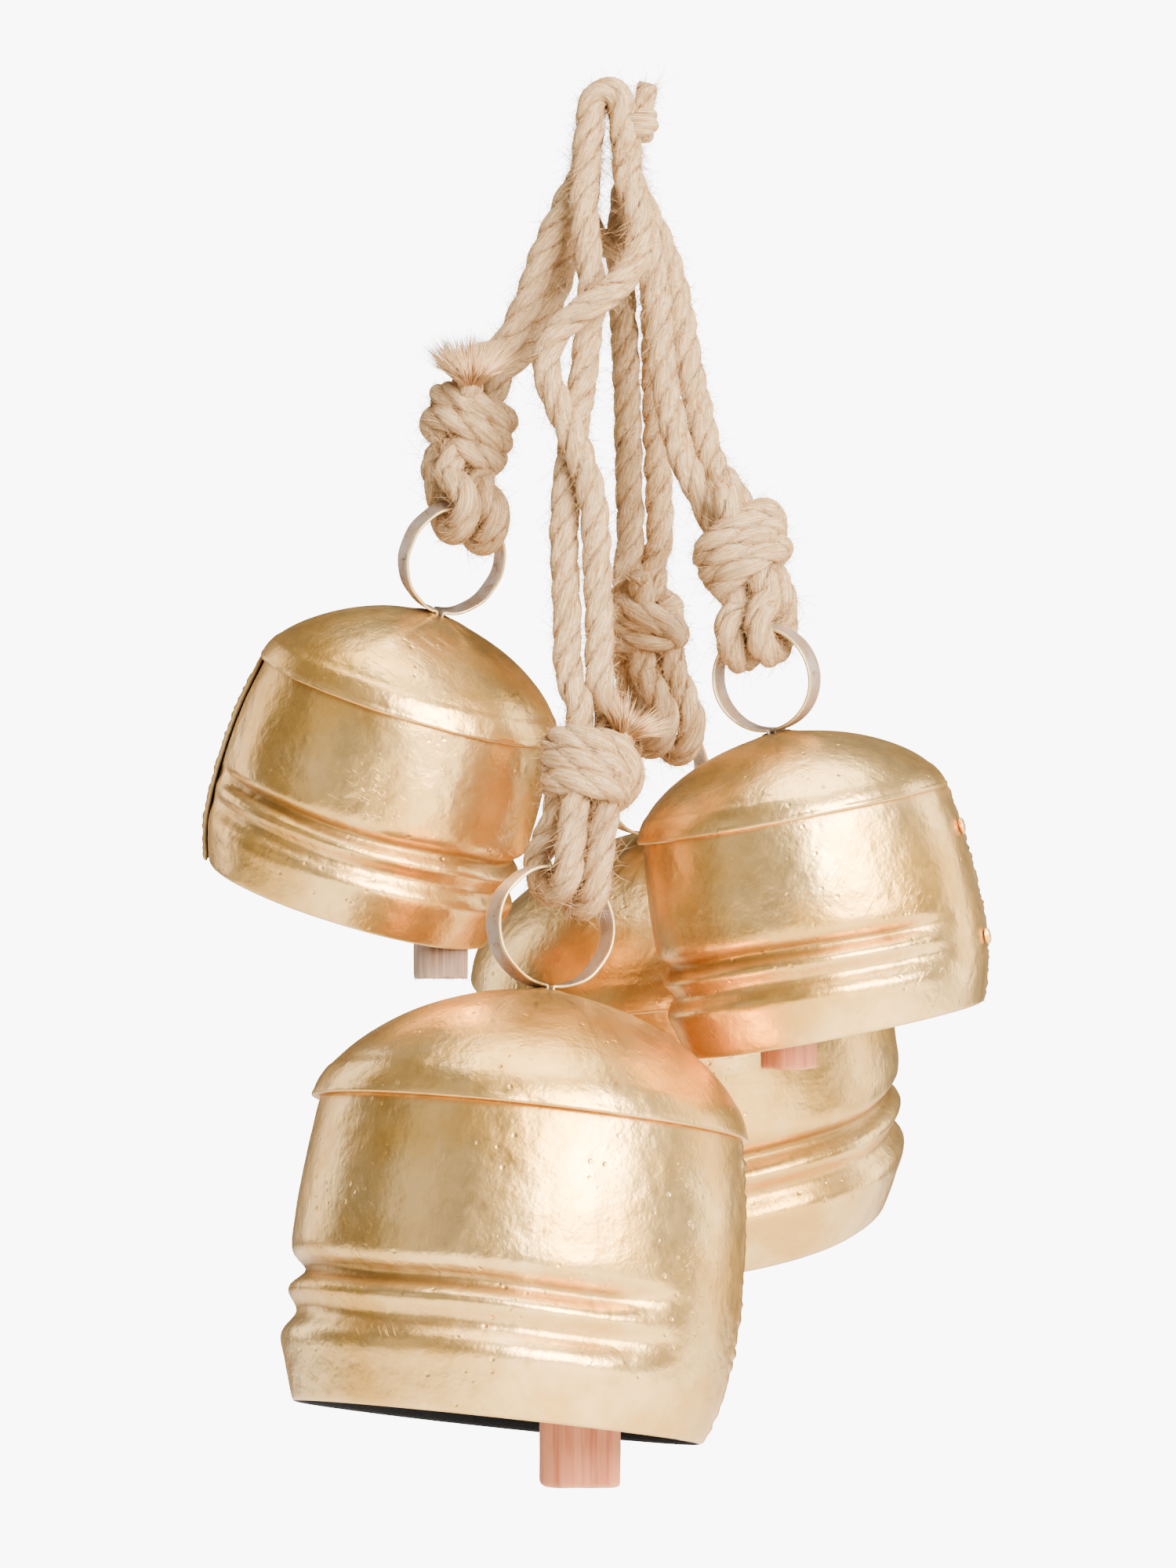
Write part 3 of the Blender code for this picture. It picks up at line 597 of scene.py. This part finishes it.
# the spare end beside the hook: a small hitch and a cut end that points up
spare = {"hitch": (9.8, -11.5, -5.6),
         "end": ((8.6, -10.5, -6), (9.8, -9.5, -3), (10.6, -8.5, 0.2), (11, -8, 3.0), (12, -8, 6.8))}
spin = np.linspace(0, 2 * math.pi * 2.1, 16)
coil = spare["hitch"] + polarGrid(2.4, spin, 5.2 * spin / spin[-1] - 2.6)
hitchLine = smoothLine(coil, 0.8)
piece = laidRope("spareHitch", hitchLine, (0, 0, 1), 2.7, 0, (0.3, 0.3), 2, 9)
topPieces.append(rideOn(piece, "root", "jute_rope", "spare_end_knot"))
spareLine = smoothLine(spare["end"], 0.7)
piece = laidRope("spareEnd", spareLine, (0, 1, 0), 3.0, 0.5, (0.6, 0.82), 1.2, 8)
topPieces.append(rideOn(piece, "root", "jute_rope", "spare_end"))
topPieces.append(rideOn(fuzz("spareEndFuzz", spareLine, (0, 1, 0), 3.0, 61, 1.2), "root", "jute_rope"))
print("bights made")


def wrapLine(rope):
    # a coil round the knot's axis that climbs while it leans, then one turn that crosses down over it
    wide, half = rope["size"]
    wrap = rope["wrap"]
    radius, climb = wide - 3.5, half - 2.9
    t = np.linspace(0, 1, 34)
    angle = math.radians(wrap["start"]) + 2 * math.pi * wrap["turns"] * t
    reach = radius * (0.62 + 0.38 * softStep(t, 0, 0.16)) + 0.35 * np.sin(3 * angle)
    height = -climb + 2 * climb * t
    u = np.linspace(0, 1, 9)[1:]
    sweep = math.radians(wrap["crossing"])
    angle = np.concatenate([angle, angle[-1] + sweep * u])
    over = 3.0 * np.sin(math.pi * np.minimum(1, u * 1.25)) - 2.6 * softStep(u, 0.7, 1)
    reach = np.concatenate([reach, radius + over])
    height = np.concatenate([height, climb - 2.0 * climb * softStep(u, 0, 1)])
    height = height + wrap["tilt"] * np.cos(angle - math.radians(wrap["tiltSide"]))
    return polarGrid(reach, angle, height)


def strandPoints(name, side):
    # from inside the bight's leg down the route and into the knot
    rope = ropes[name]
    wide, _, up = knotFrame(rope)
    top, route = rope["tops"][side], rope["routes"][side]
    sign = (-1, 1)[side]
    end = Vector(rope["knot"]) + up * (rope["size"][1] + 1.5) + wide * sign * 4.7
    return [(*top, bights["strandTop"]), (*top, -15.5), (*top, -18.5), *route, end + up * 5, end,
            end - up * 6 - wide * sign * 0.6]


def loopPoints(name, sign, bellFrame):
    # a U from the knot's foot through the ring under its strap and back
    rope, bell = ropes[name], bells[name]
    wide, front = across(rope["yaw"]), across(rope["yaw"] - 90)
    turn = bellFrame.to_3x3() @ turned(bell["yaw"], "Z").to_3x3()
    opening = turn @ Vector((0, -1, 0))
    summit = (Vector((0, 0, 1)) - opening * opening.z).normalized() * bell["ring"][1]
    centre = (bellFrame @ Vector((0, 0, (bell["crown"] + 1.1 + bell["ring"][1]) * mm))) / mm
    base = centre + wide * (rope["shift"] + sign * 4.6) + front * summit.dot(front)
    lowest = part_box(f"{name}_loop_{'left' if sign < 0 else 'right'}")[0][2] / mm
    bend = 9.0
    base.z = lowest + ropeSize["radius"] + bend
    bottom = [base + front * bend * math.cos(a) - Vector((0, 0, bend * math.sin(a)))
              for a in np.radians(np.arange(0, 181, 30))]
    knotWide, knotFront, knotUp = knotFrame(rope)
    foot = Vector(rope["knot"]) - knotUp * (rope["size"][1] + 1.9) + knotWide * sign * 5
    start, end = foot + knotFront * 5.2, foot - knotFront * 5.2
    inside = knotUp * 7
    return [start + inside - knotFront * 1.4, start, start - knotUp * 2, *bottom, end - knotUp * 2, end,
            end + inside + knotFront * 1.4]


def makeRope(name, bellFrame, seed):
    rope = ropes[name]
    body = name + "_rope"
    wide, front, up = knotFrame(rope)
    turn = Matrix((wide, -front, up)).transposed().to_4x4()
    place = moved(*rope["knot"]) @ turn
    jutePiece = lambda piece, *nodes: rideOn(piece, body, "jute_rope", *nodes)

    # knot
    line = smoothLine(inWorld(place, wrapLine(rope)), ropeSize["step"])
    knot = jutePiece(laidRope(name + "Knot", line, up, 4.0, 0.4, (0.5, 0.5), 5, seed), name + "_knot")
    knotFuzz = jutePiece(fuzz(name + "KnotFuzz", line, up, 4.0, seed + 70, 0.8))

    # cut tail above the knot, and the frayed fibres at its end
    side, forward, length, lean = rope["tail"]
    brush = rope["brush"]
    tip = (place @ turned(lean, "Y") @ turned(ropeSize["tailLean"], "X")).to_3x3() @ Vector((0, 0, 1))
    foot = Vector(rope["knot"]) + up * (rope["size"][1] - 3) + wide * side + front * (forward - 1.5)
    stub = max(7.0, (length + 4) * brush["stub"])
    line = smoothLine([foot, foot + tip * stub * 0.5, foot + tip * stub], 0.8)
    tail = jutePiece(laidRope(name + "Tail", line, (0, 1, 0), 3.6, 0.2, (0.8, 0.75), 2.5, seed + 3), name + "_tail")
    rng = np.random.default_rng(seed + 90)
    count = brush["count"]
    angle, reach = rng.uniform(0, 2 * math.pi, count), np.sqrt(rng.uniform(0, 1, count))
    _, first, second = (axis[0] for axis in sideFrame(np.array([tuple(foot), tuple(foot + tip)]), (0, 1, 0)))
    out = (np.cos(angle) * reach)[:, None] * first + (np.sin(angle) * reach)[:, None] * second
    roots = np.array(foot) + np.array(tip) * (stub - 3.2) + out * 2.9
    clump = np.round(angle * 1.1) / 1.1
    lock = np.cos(clump)[:, None] * first + np.sin(clump)[:, None] * second
    direction = unit(np.array(tip) + (out * 0.7 + lock * 0.6) * brush["flare"]
                     + rng.normal(size=(count, 3)) * 0.07)
    curl = out * 0.18 + rng.normal(size=(count, 3)) * 0.1
    lengths = rng.uniform(*brush["length"], count)
    tuft = jutePiece(fibres(name + "Tuft", roots, direction, curl, lengths, 0.19, seed + 91))

    # two strands up to the bights
    for letter, number in (("A", 0), ("B", 1)):
        line = smoothLine(strandPoints(name, number), ropeSize["step"])
        leftLeg = rope["tops"][number][0] < 0
        phase = -overlap * turnPerMm if leftLeg else (bightLength - overlap) * turnPerMm
        strand = jutePiece(laidRope(f"{name}Strand{letter}", line, (0, 1, 0), ropeSize["radius"], phase,
                                    (0.92, 0.8), 5, seed + 5 + number), f"{name}_strand_{letter.lower()}")
        pieces = [jutePiece(fuzz(f"{name}Strand{letter}Fuzz{half}", line, (0, 1, 0), ropeSize["radius"],
                                 seed + 20 + 2 * number + half, 1.0, (half / 2, half / 2 + 0.5)))
                  for half in (0, 1)]
        if letter == "A":
            pieces += [knot, knotFuzz, tail, tuft]
            if name == "left":
                pieces += topPieces

    # two loops through the ring
    for word, sign in (("Left", -1), ("Right", 1)):
        line = smoothLine(loopPoints(name, sign, bellFrame), 0.9)
        loop = jutePiece(laidRope(f"{name}Loop{word}", line, across(rope["yaw"]), ropeSize["radius"], 0.7 * sign,
                                  (0.8, 0.8), 5, seed + 12 + sign), f"{name}_loop_{word.lower()}")
        hair = jutePiece(fuzz(f"{name}Loop{word}Fuzz", line, across(rope["yaw"]), ropeSize["radius"],
                              seed + 30 + sign))
    print(name, "rope made")


# bells

# radius at distances below the flange of the large bells, where the ribs are full and where they have faded
ribbed = ((0, 59.3), (18, 61.4), (34, 62.4), (44, 62), (49, 57.8), (54.5, 62.2), (60.5, 59.2), (67, 62.8),
          (75, 60.8), (85.6, 57.4))
plain = ((0, 59.3), (18, 62.2), (34, 63.6), (44, 63.9), (49, 64), (54.5, 63.8), (60.5, 63.4), (67, 62.6),
         (75, 61), (85.6, 57.4))
shellSize = {"depth": 85.6, "wall": 1.0, "gap": 0.3, "lap": 16, "ribFade": (10, 40), "rows": 72, "columns": 270,
             "broadDents": 0.55, "fineDents": 0.13, "liftFrom": 320, "liftOver": 36, "bead": (0.5, 1.5)}
bells = {
    "left": {"scale": 0.73, "roll": 17.1, "pitch": 8, "crown": 26, "rimIn": 0, "ring": (14.8, 15.8), "yaw": 25,
             "seam": 176, "clapper": (15.2, 52, -251.8, 4.3, 8), "wood": greyWood, "dents": 0.30},
    "right": {"scale": 0.73, "roll": -11, "pitch": 1.5, "crown": 23.5, "rimIn": 0, "ring": (14.8, 14.8), "yaw": -25,
              "seam": -14, "clapper": (14.5, 52, -276.5, 2.1, 38), "wood": pinkWood, "dents": 0.22},
    "front": {"scale": 1.0, "roll": 6.15, "pitch": -6.8, "crown": 36.5, "rimIn": 0, "ring": (18.6, 17), "yaw": 30,
              "seam": -20, "clapper": (22, 75, -393.4, 12.7, 6), "wood": pinkWood, "dents": 0.26},
    "back": {"scale": 1.0, "roll": -8, "pitch": 14.3, "crown": 36.5, "rimIn": 5.2, "ring": (18, 17), "yaw": 30,
             "seam": 75, "clapper": (22, 75, -345, 0, 20), "wood": pinkWood, "dents": 0.30},
}
crownSize = {"outer": 61.5, "fullness": 1.7, "wall": 1.0, "slot": (2.1, 4.4), "rows": 56, "columns": 210}
strapSize = {"width": 8.0, "thick": 1.0, "leg": 1.0, "tongue": 11.5}


def frameOf(name):
    # the bell's own frame in its flange plane, hung from the clapper's joint on the axis 8 mm under the crown's top
    bell = bells[name]
    turn = turned(bell["roll"], "Y") @ turned(bell["pitch"], "X")
    flange = pivots[name + "_clapper_swing"] - turn.to_3x3() @ Vector((0, 0, (bell["crown"] - 8) * mm))
    return Matrix.Translation(flange) @ turn


def makeShell(name, bellFrame, seed):
    # radius(below, angle): the ribbed outline, blended into the plain one beside the seam, plus the lap's step,
    # the braze on the lap's edge and dents; the wall is the same sheet one thickness further in
    bell, size = bells[name], shellSize
    scale = bell["scale"]
    ribLine, plainLine = smoothLine(ribbed, 0.5), smoothLine(plain, 0.5)
    share = np.clip(np.linspace(0, 1, size["rows"]), 0.004, 0.996)
    below = size["depth"] * share[None, :]
    swept = np.linspace(0, 360 + size["lap"], size["columns"])[:, None]
    fromSeam = np.minimum(swept, np.maximum(0, 360 - swept))
    grown = softStep(fromSeam, *size["ribFade"])
    plainRadius = np.interp(below, plainLine[:, 0], plainLine[:, 1])
    angle = np.radians(bell["seam"] - size["lap"] / 2 + swept)
    dents = bell["dents"] * (size["broadDents"] * unevenness(seed, angle, below, 3, 11)
                             + size["fineDents"] * unevenness(seed + 1, angle, below, 16, 50))
    wander = unevenness(seed + 2, angle, below * 0, 2, 6)
    shifted = below + 0.5 * wander * np.sin(math.pi * below / size["depth"])
    ribRadius = np.interp(shifted, ribLine[:, 0], ribLine[:, 1])
    lift = (size["wall"] + size["gap"]) * np.clip((swept - size["liftFrom"]) / size["liftOver"], 0, 1)
    bead = 1 + 0.5 * unevenness(seed + 7, below * 0.05, below, 1, 40)
    braze = size["bead"][0] * np.exp(-((360 + size["lap"] - swept) / size["bead"][1]) ** 2) * bead
    rimIn = bell["rimIn"] * (below / size["depth"]) ** 4
    centre = (plainRadius + (ribRadius - plainRadius) * grown - rimIn) * scale + lift
    centre = centre + dents * softStep(below, 0, 5)
    # half the wall, rounded off to nothing at the sheet's two cut edges
    wall = size["wall"]
    lip = wall / 2 * (1 - np.abs(2 * share[None, :] - 1) ** 60)
    height = 1.5 * np.exp(-below / 1.1) - (size["gap"] + below * scale)
    outer, inner = centre - wall / 2 + lip + braze, centre - wall / 2 - lip
    radius = np.concatenate([outer, inner[:, ::-1]], axis=1)
    height = np.concatenate([height, height[:, ::-1]], axis=1) + np.zeros_like(radius)
    grid = polarGrid(radius, angle, height)
    flat = np.concatenate([np.zeros(outer.shape), np.ones(inner.shape)], axis=1)
    # painted shade: darker gold in the rib grooves, and along the joint under the crown's lip the braze joint's
    # deeper colour plus a painted shadow cast by the lip
    grooveAndLipShade = softStep((plainRadius - ribRadius) * grown / 4.6, 0.45, 1.35) + 0.75 * np.exp(-(below / 2.2) ** 2)
    groove = np.concatenate([grooveAndLipShade, grooveAndLipShade[:, ::-1] * 0], axis=1)
    rubbed = np.clip(braze * 0.9, 0, 0.8) + 0.35 * np.exp(-((size["depth"] - below) / 1.2) ** 2)
    worn = np.concatenate([rubbed] * 2, axis=1)
    values = {"groove": groove, "inside": flat, "worn": worn * (1 - flat)}
    return skin(name + "Shell", inWorld(bellFrame, grid), gold[name], values, "sheet")


def makeCrown(name, bellFrame, seed):
    # superellipse dome: r = R sin(a)^(2/n), z = H cos(a)^(2/n), from the slot's edge to the flange,
    # round a lip, and back inside
    bell, size = bells[name], crownSize
    scale, tall = bell["scale"], bell["crown"]
    radius = size["outer"] * scale
    power = 2 / size["fullness"]
    angle = circle(size["columns"])[:, None]
    local = angle - math.radians(bell["yaw"])
    slot = (np.abs(np.cos(local) / size["slot"][0]) ** 6 + np.abs(np.sin(local) / size["slot"][1]) ** 6) ** (-1 / 6)
    first = np.arcsin((slot / radius) ** (1 / power))
    t = np.linspace(0, 1, size["rows"])[None, :]
    slope = first + (math.pi / 2 - first) * t
    reach, height = radius * np.sin(slope) ** power, tall * np.maximum(np.cos(slope), 0) ** power
    edge = softStep(reach, slot + 2, slot + 14) * softStep(radius - reach, 0, 7)
    dents = bell["dents"] * unevenness(seed + 5, angle, reach * 0.7, 1, 7) * edge
    crease = np.exp(-((reach - 0.3 * radius) / (0.16 * radius)) ** 2) * np.maximum(0, np.cos(5 * angle + seed)) ** 3
    band = 0.35 * softStep(height, 8.5 * scale, 10 * scale) * (1 - softStep(height, 20 * scale, 30 * scale))
    height = height + dents * 1.3 - 0.5 * crease + 0.5 * np.exp(-((reach - slot) / 3) ** 2)
    reach = reach - band + dents * 0.4
    thick = size["wall"]
    innerReach = np.maximum(slot, reach * (1 - 1.6 * thick / radius))
    innerHeight = height - thick
    keep = slice(0, int(size["rows"] * 0.93))
    ripple = 0.25 * unevenness(seed + 6, angle, angle * 0, 6, 26)
    lipReach = radius + ripple + np.array([0.15, 0.2, 0.0, -0.45, -1.2, -2.4, -4.0])[None, :] * scale
    lipHeight = np.array([0.9, 0.35, -0.05, -0.2, -0.15, 0.0, 0.02])[None, :] + 0 * ripple
    sections = (reach[:, :-3], lipReach, innerReach[:, keep][:, ::-1])
    rises = (height[:, :-3], lipHeight, innerHeight[:, keep][:, ::-1])
    allReach, allHeight = np.concatenate(sections, axis=1), np.concatenate(rises, axis=1)
    grid = polarGrid(allReach, angle, allHeight)
    counts = [part.shape[1] for part in sections]
    inside = np.concatenate([np.zeros(counts[0]), np.zeros(counts[1]), np.ones(counts[2])])[None, :] + 0 * angle
    nearSlot = np.exp(-((allReach - slot) / 4.5) ** 2)
    # darker round the slot, and painted shade on the lip's lower side, under its overhang
    groove = np.clip(nearSlot * 0.9 + 0.55 * np.exp(-((allHeight - 0.1) / 0.7) ** 2), 0, 1) * (1 - inside)
    worn = 0.5 * np.exp(-((allHeight - 0.8) / 0.6) ** 2) * (1 - inside)
    shoulder = np.exp(-((allReach - 0.45 * radius) / (0.3 * radius)) ** 2) * (1 - inside)
    values = {"groove": groove, "inside": inside, "worn": worn, "shoulder": shoulder,
              "polar": polarGrid(3, angle, allReach / radius * 0.8 + seed)}
    return skin(name + "Crown", inWorld(bellFrame, grid), gold[name], values, "loop")


def makeRing(name, bellFrame, seed):
    # a rounded strap section carried round an ellipse that stands on the crown, its ends down through the slot
    bell, size = bells[name], strapSize
    wide, tall = bell["ring"]
    base = bell["crown"] + 1.1
    start = math.asin(size["leg"] / wide)
    a = np.linspace(start, 2 * math.pi - start, 150)
    ring = np.stack([wide * np.sin(a), base + tall * (1 - np.cos(a))], axis=-1)
    legs = np.linspace(bell["crown"] - size["tongue"], base - 0.6, 12)
    up = np.stack([np.full(12, size["leg"]), legs], axis=-1)
    line = np.vstack([up, ring, np.stack([-up[::-1, 0], up[::-1, 1]], axis=-1)])
    line = evenSteps(line, 0.75)
    rows = len(line)
    line3 = np.stack([line[:, 0], np.zeros(rows), line[:, 1]], axis=-1)
    _, sideways, outward = sideFrame(line3, (0, 1, 0))
    around = circle(28)
    flatSide = np.sign(np.cos(around)) * np.abs(np.cos(around)) ** 0.35
    thin = np.sign(np.sin(around)) * np.abs(np.sin(around)) ** 0.35
    along = np.arange(rows) * 0.75
    wave = 0.09 * unevenness(seed + 8, along[:, None] * 0.12, along[:, None] * 0, 1, 6, 10)
    width = size["width"] / 2 * (1 + 0.03 * unevenness(seed + 9, along[:, None] * 0.1, along[:, None] * 0, 1, 5, 8))
    grid = (line3[:, None, :] + (flatSide[None, :] * width)[..., None] * sideways[:, None, :]
            + (thin[None, :] * size["thick"] / 2 + wave)[..., None] * outward[:, None, :])
    turn = bellFrame @ turned(bell["yaw"], "Z")
    flat = np.stack(np.broadcast_arrays(along[:, None], flatSide[None, :] * 4, thin[None, :]), axis=-1)
    low = softStep(-(line[:, 1] - base), -5, 1)[:, None]
    values = {"edge": np.abs(flatSide)[None, :] + 0 * along[:, None], "flat": flat, "soot": low + 0 * thin[None, :]}
    return skin(name + "Ring", inWorld(turn, grid), strapMetal, values)


def makeClapper(name, bellFrame, seed):
    # a sawn block: a square section with cut corners, rounded ends, and its wire up through the strap's eye
    bell, body = bells[name], name + "_clapper"
    side, length, bottom, offset, turnAngle = bell["clapper"]
    place = pivots[body + "_swing"]
    axis = bellFrame.to_3x3() @ turned(bell["yaw"], "Z").to_3x3() @ Vector((1, 0, 0))
    slope = axis.z / math.hypot(axis.x, axis.y)
    upright = Matrix.Translation(place) @ Matrix.Rotation(math.atan2(axis.y, axis.x), 4, "Z")
    top = bottom + length - place.z / mm
    bends = ((4.6, -7), (4.4, -1.4), (3, 0))
    sides = [[(offset + sign * 1.5, 0, top - 7), (offset + sign * 1.5, 0, top + 3)]
             + [(sign * x, 0, z + sign * x * slope) for x, z in bends] for sign in (-1, 1)]
    wire = smoothLine(sides[0] + sides[1][::-1], 0.8)
    _, first, second = sideFrame(wire, (0, 1, 0))
    around = circle(12)[None, :, None]
    grid = wire[:, None, :] + np.cos(around) * first[:, None, :] + np.sin(around) * second[:, None, :]
    rideOn(skin(name + "ClapperWire", inWorld(upright, grid), hangerIron), body, "hanger_wire", body + "_wire")
    angle = circle(72)[None, :]
    half = side / 2
    corner = 0.22 * side
    square = half / np.maximum(np.abs(np.cos(angle)), np.abs(np.sin(angle)))
    cut = (2 * half - corner) / (np.abs(np.cos(angle)) + np.abs(np.sin(angle)))
    section = -np.log(np.exp(-square * 3) + np.exp(-cut * 3)) / 3
    levels = np.concatenate([[0, 0, 0, 0.25, 0.8, 1.6], np.linspace(3, length - 3, 40), [length - 1.6, length - 0.8,
                            length - 0.25, length, length, length]])[:, None]
    foot = np.array([0.05, 0.4, 0.93, 0.975, 0.995, 1])
    shrink = np.concatenate([foot, np.ones(40), foot[::-1]])[:, None]
    plane = 1 + 0.006 * unevenness(seed + 3, angle, levels * 2, 4, 16)
    reach = section * shrink * plane
    height = levels + 0.12 * unevenness(seed + 4, angle, reach * 4, 2, 8) * (levels < 1) * softStep(shrink, 0, 0.3)
    block = polarGrid(reach, angle, height - length)
    where = (Matrix.Translation(upright @ Vector((offset * mm, 0, top * mm)))
             @ turned(turnAngle, "Z"))
    ends = np.maximum(softStep(1.2 - levels, 0, 1), softStep(levels - length + 1.2, 0, 1)) + 0 * angle
    rideOn(skin(name + "Clapper", inWorld(where, block), bell["wood"], {"end": ends}), body, "clapper_wood", body)
    if name == "left":
        # splinters round the sawn foot
        rng = np.random.default_rng(seed + 40)
        around = rng.uniform(0, 2 * math.pi, 130)
        edge = np.interp(around, np.append(angle.ravel(), 2 * math.pi), np.append(section.ravel(), section[0, 0]))
        roots = polarGrid(edge * 0.95, around, 0.6 - length)
        direction = unit(polarGrid(0.3, around, -1) + rng.normal(size=(130, 3)) * 0.35)
        turn = np.array(where.to_3x3())
        rideOn(fibres("leftClapperSplinters", inWorld(where, roots), direction @ turn.T,
                      rng.normal(size=(130, 3)) * 0.2, rng.uniform(0.6, 1.8, 130), 0.07, seed + 41), "left_clapper",
               "clapper_wood")


def makeBell(name, seed):
    bell = bells[name]
    bellFrame = frameOf(name)
    body = name + "_bell"
    rideOn(makeShell(name, bellFrame, seed), body, "gold_sheet", name + "_shell")
    rideOn(makeCrown(name, bellFrame, seed), body, "gold_sheet", name + "_crown")
    rideOn(makeRing(name, bellFrame, seed), body, "ring_strap", name + "_ring")
    turn = bellFrame @ turned(bell["yaw"], "Z")
    for number, side in enumerate((-1, 1)):
        spot = turn @ moved(side * 1.9, side * 0.8, bell["crown"] - 0.3)
        piece = lump(f"{name}Braze{number}", spot, (1.7, 3.3, 0.8), 0.22, seed + 50 + number, gold[name],
                     {"groove": 0.5, "worn": 0.15})
        rideOn(piece, body, "gold_sheet")
    makeClapper(name, bellFrame, seed)
    print(name, "bell made")
    makeRope(name, bellFrame, seed)
    return bellFrame


for name, seed in (("left", 110), ("right", 210), ("front", 310), ("back", 410)):
    bellFrame = makeBell(name, seed)
    if name == "right":
        # two braze tacks on the seam's lap
        bell = bells[name]
        for word, below in (("upper", 12), ("lower", 44)):
            radius = np.interp(below, [row[0] * bell["scale"] for row in plain], [row[1] for row in plain])
            radius = radius * bell["scale"] + 1.6 + 0.36 * 2.2
            spot = bellFrame @ turned(bell["seam"] + 1, "Z") @ moved(radius, 0, -below)
            piece = lump(f"rightTack{word.capitalize()}", spot, (0.95, 2.1, 2.3), 0.2, 600 + below, gold["right"],
                         {"groove": 0.3, "worn": 0.5})
            rideOn(piece, "right_bell", "gold_sheet", f"right_seam_tack_{word}")

# floor, world and lights

studio = {"floorHeight": -0.62, "floorRadius": 1.5, "floor": (0.86, 0.86, 0.85), "glow": 0.4, "backdrop": 9.0,
          "surround": 0.10, "aim": (0, 0, -0.2)}
lights = {
    "key": {"place": (0.85, -1.5, 0.5), "size": (1.2, 1.4), "power": 182, "colour": (1, 0.985, 0.96)},
    "fill": {"place": (-1.5, -1.0, 0.25), "size": (0.9, 1.3), "power": 2.5, "colour": (1, 0.99, 0.97)},
    "rimRight": {"place": (1.5, 0.5, 0.1), "size": (0.7, 1.4), "power": 13},
    "rimLeft": {"place": (-1.3, 0.9, 0.2), "size": (0.7, 1.4), "power": 9},
    "top": {"place": (0.1, -0.1, 1.4), "size": (1.2, 1.2), "power": 36},
}

# a disc of rings whose height stays level
turns, rings = np.meshgrid(circle(96), np.linspace(0.02, 1, 6), indexing="xy")
reach = rings * studio["floorRadius"] / mm
disc = polarGrid(reach, turns, studio["floorHeight"] / mm)
disc = np.concatenate([disc, disc[::-1] - np.array([0, 0, 8.0])])
floorFinish = Finish("paleFloor")
grainy = floorFinish.noise(floorFinish.place, 14, 3)
floor = skin("floor", disc, floorFinish.done(
    Base_Color=floorFinish.mix(grainy, studio["floor"], tuple(0.97 * part for part in studio["floor"])),
    Roughness=0.85,
    Emission_Color=(1, 1, 1), Emission_Strength=studio["glow"]))

world = bpy.data.worlds.new("studioWorld")
bpy.context.scene.world = world
world.use_nodes = True
tree = world.node_tree
background = tree.nodes["Background"]
pathNode = tree.nodes.new("ShaderNodeLightPath")
seen = tree.nodes.new("ShaderNodeMixRGB")
seen.inputs["Color1"].default_value = (studio["surround"],) * 3 + (1,)
seen.inputs["Color2"].default_value = (studio["backdrop"],) * 3 + (1,)
tree.links.new(pathNode.outputs["Is Camera Ray"], seen.inputs["Fac"])
tree.links.new(seen.outputs["Color"], background.inputs["Color"])

for name, light in lights.items():
    data = bpy.data.lights.new(name, "AREA")
    data.shape = "RECTANGLE"
    data.size, data.size_y = light["size"]
    data.energy = light["power"]
    data.color = light.get("colour", (1, 1, 1))
    lamp = bpy.data.objects.new(name, data)
    bpy.context.scene.collection.objects.link(lamp)
    lamp.location = light["place"]
    lamp.rotation_euler = (Vector(studio["aim"]) - Vector(light["place"])).to_track_quat("-Z", "Y").to_euler()
print("studio lit")
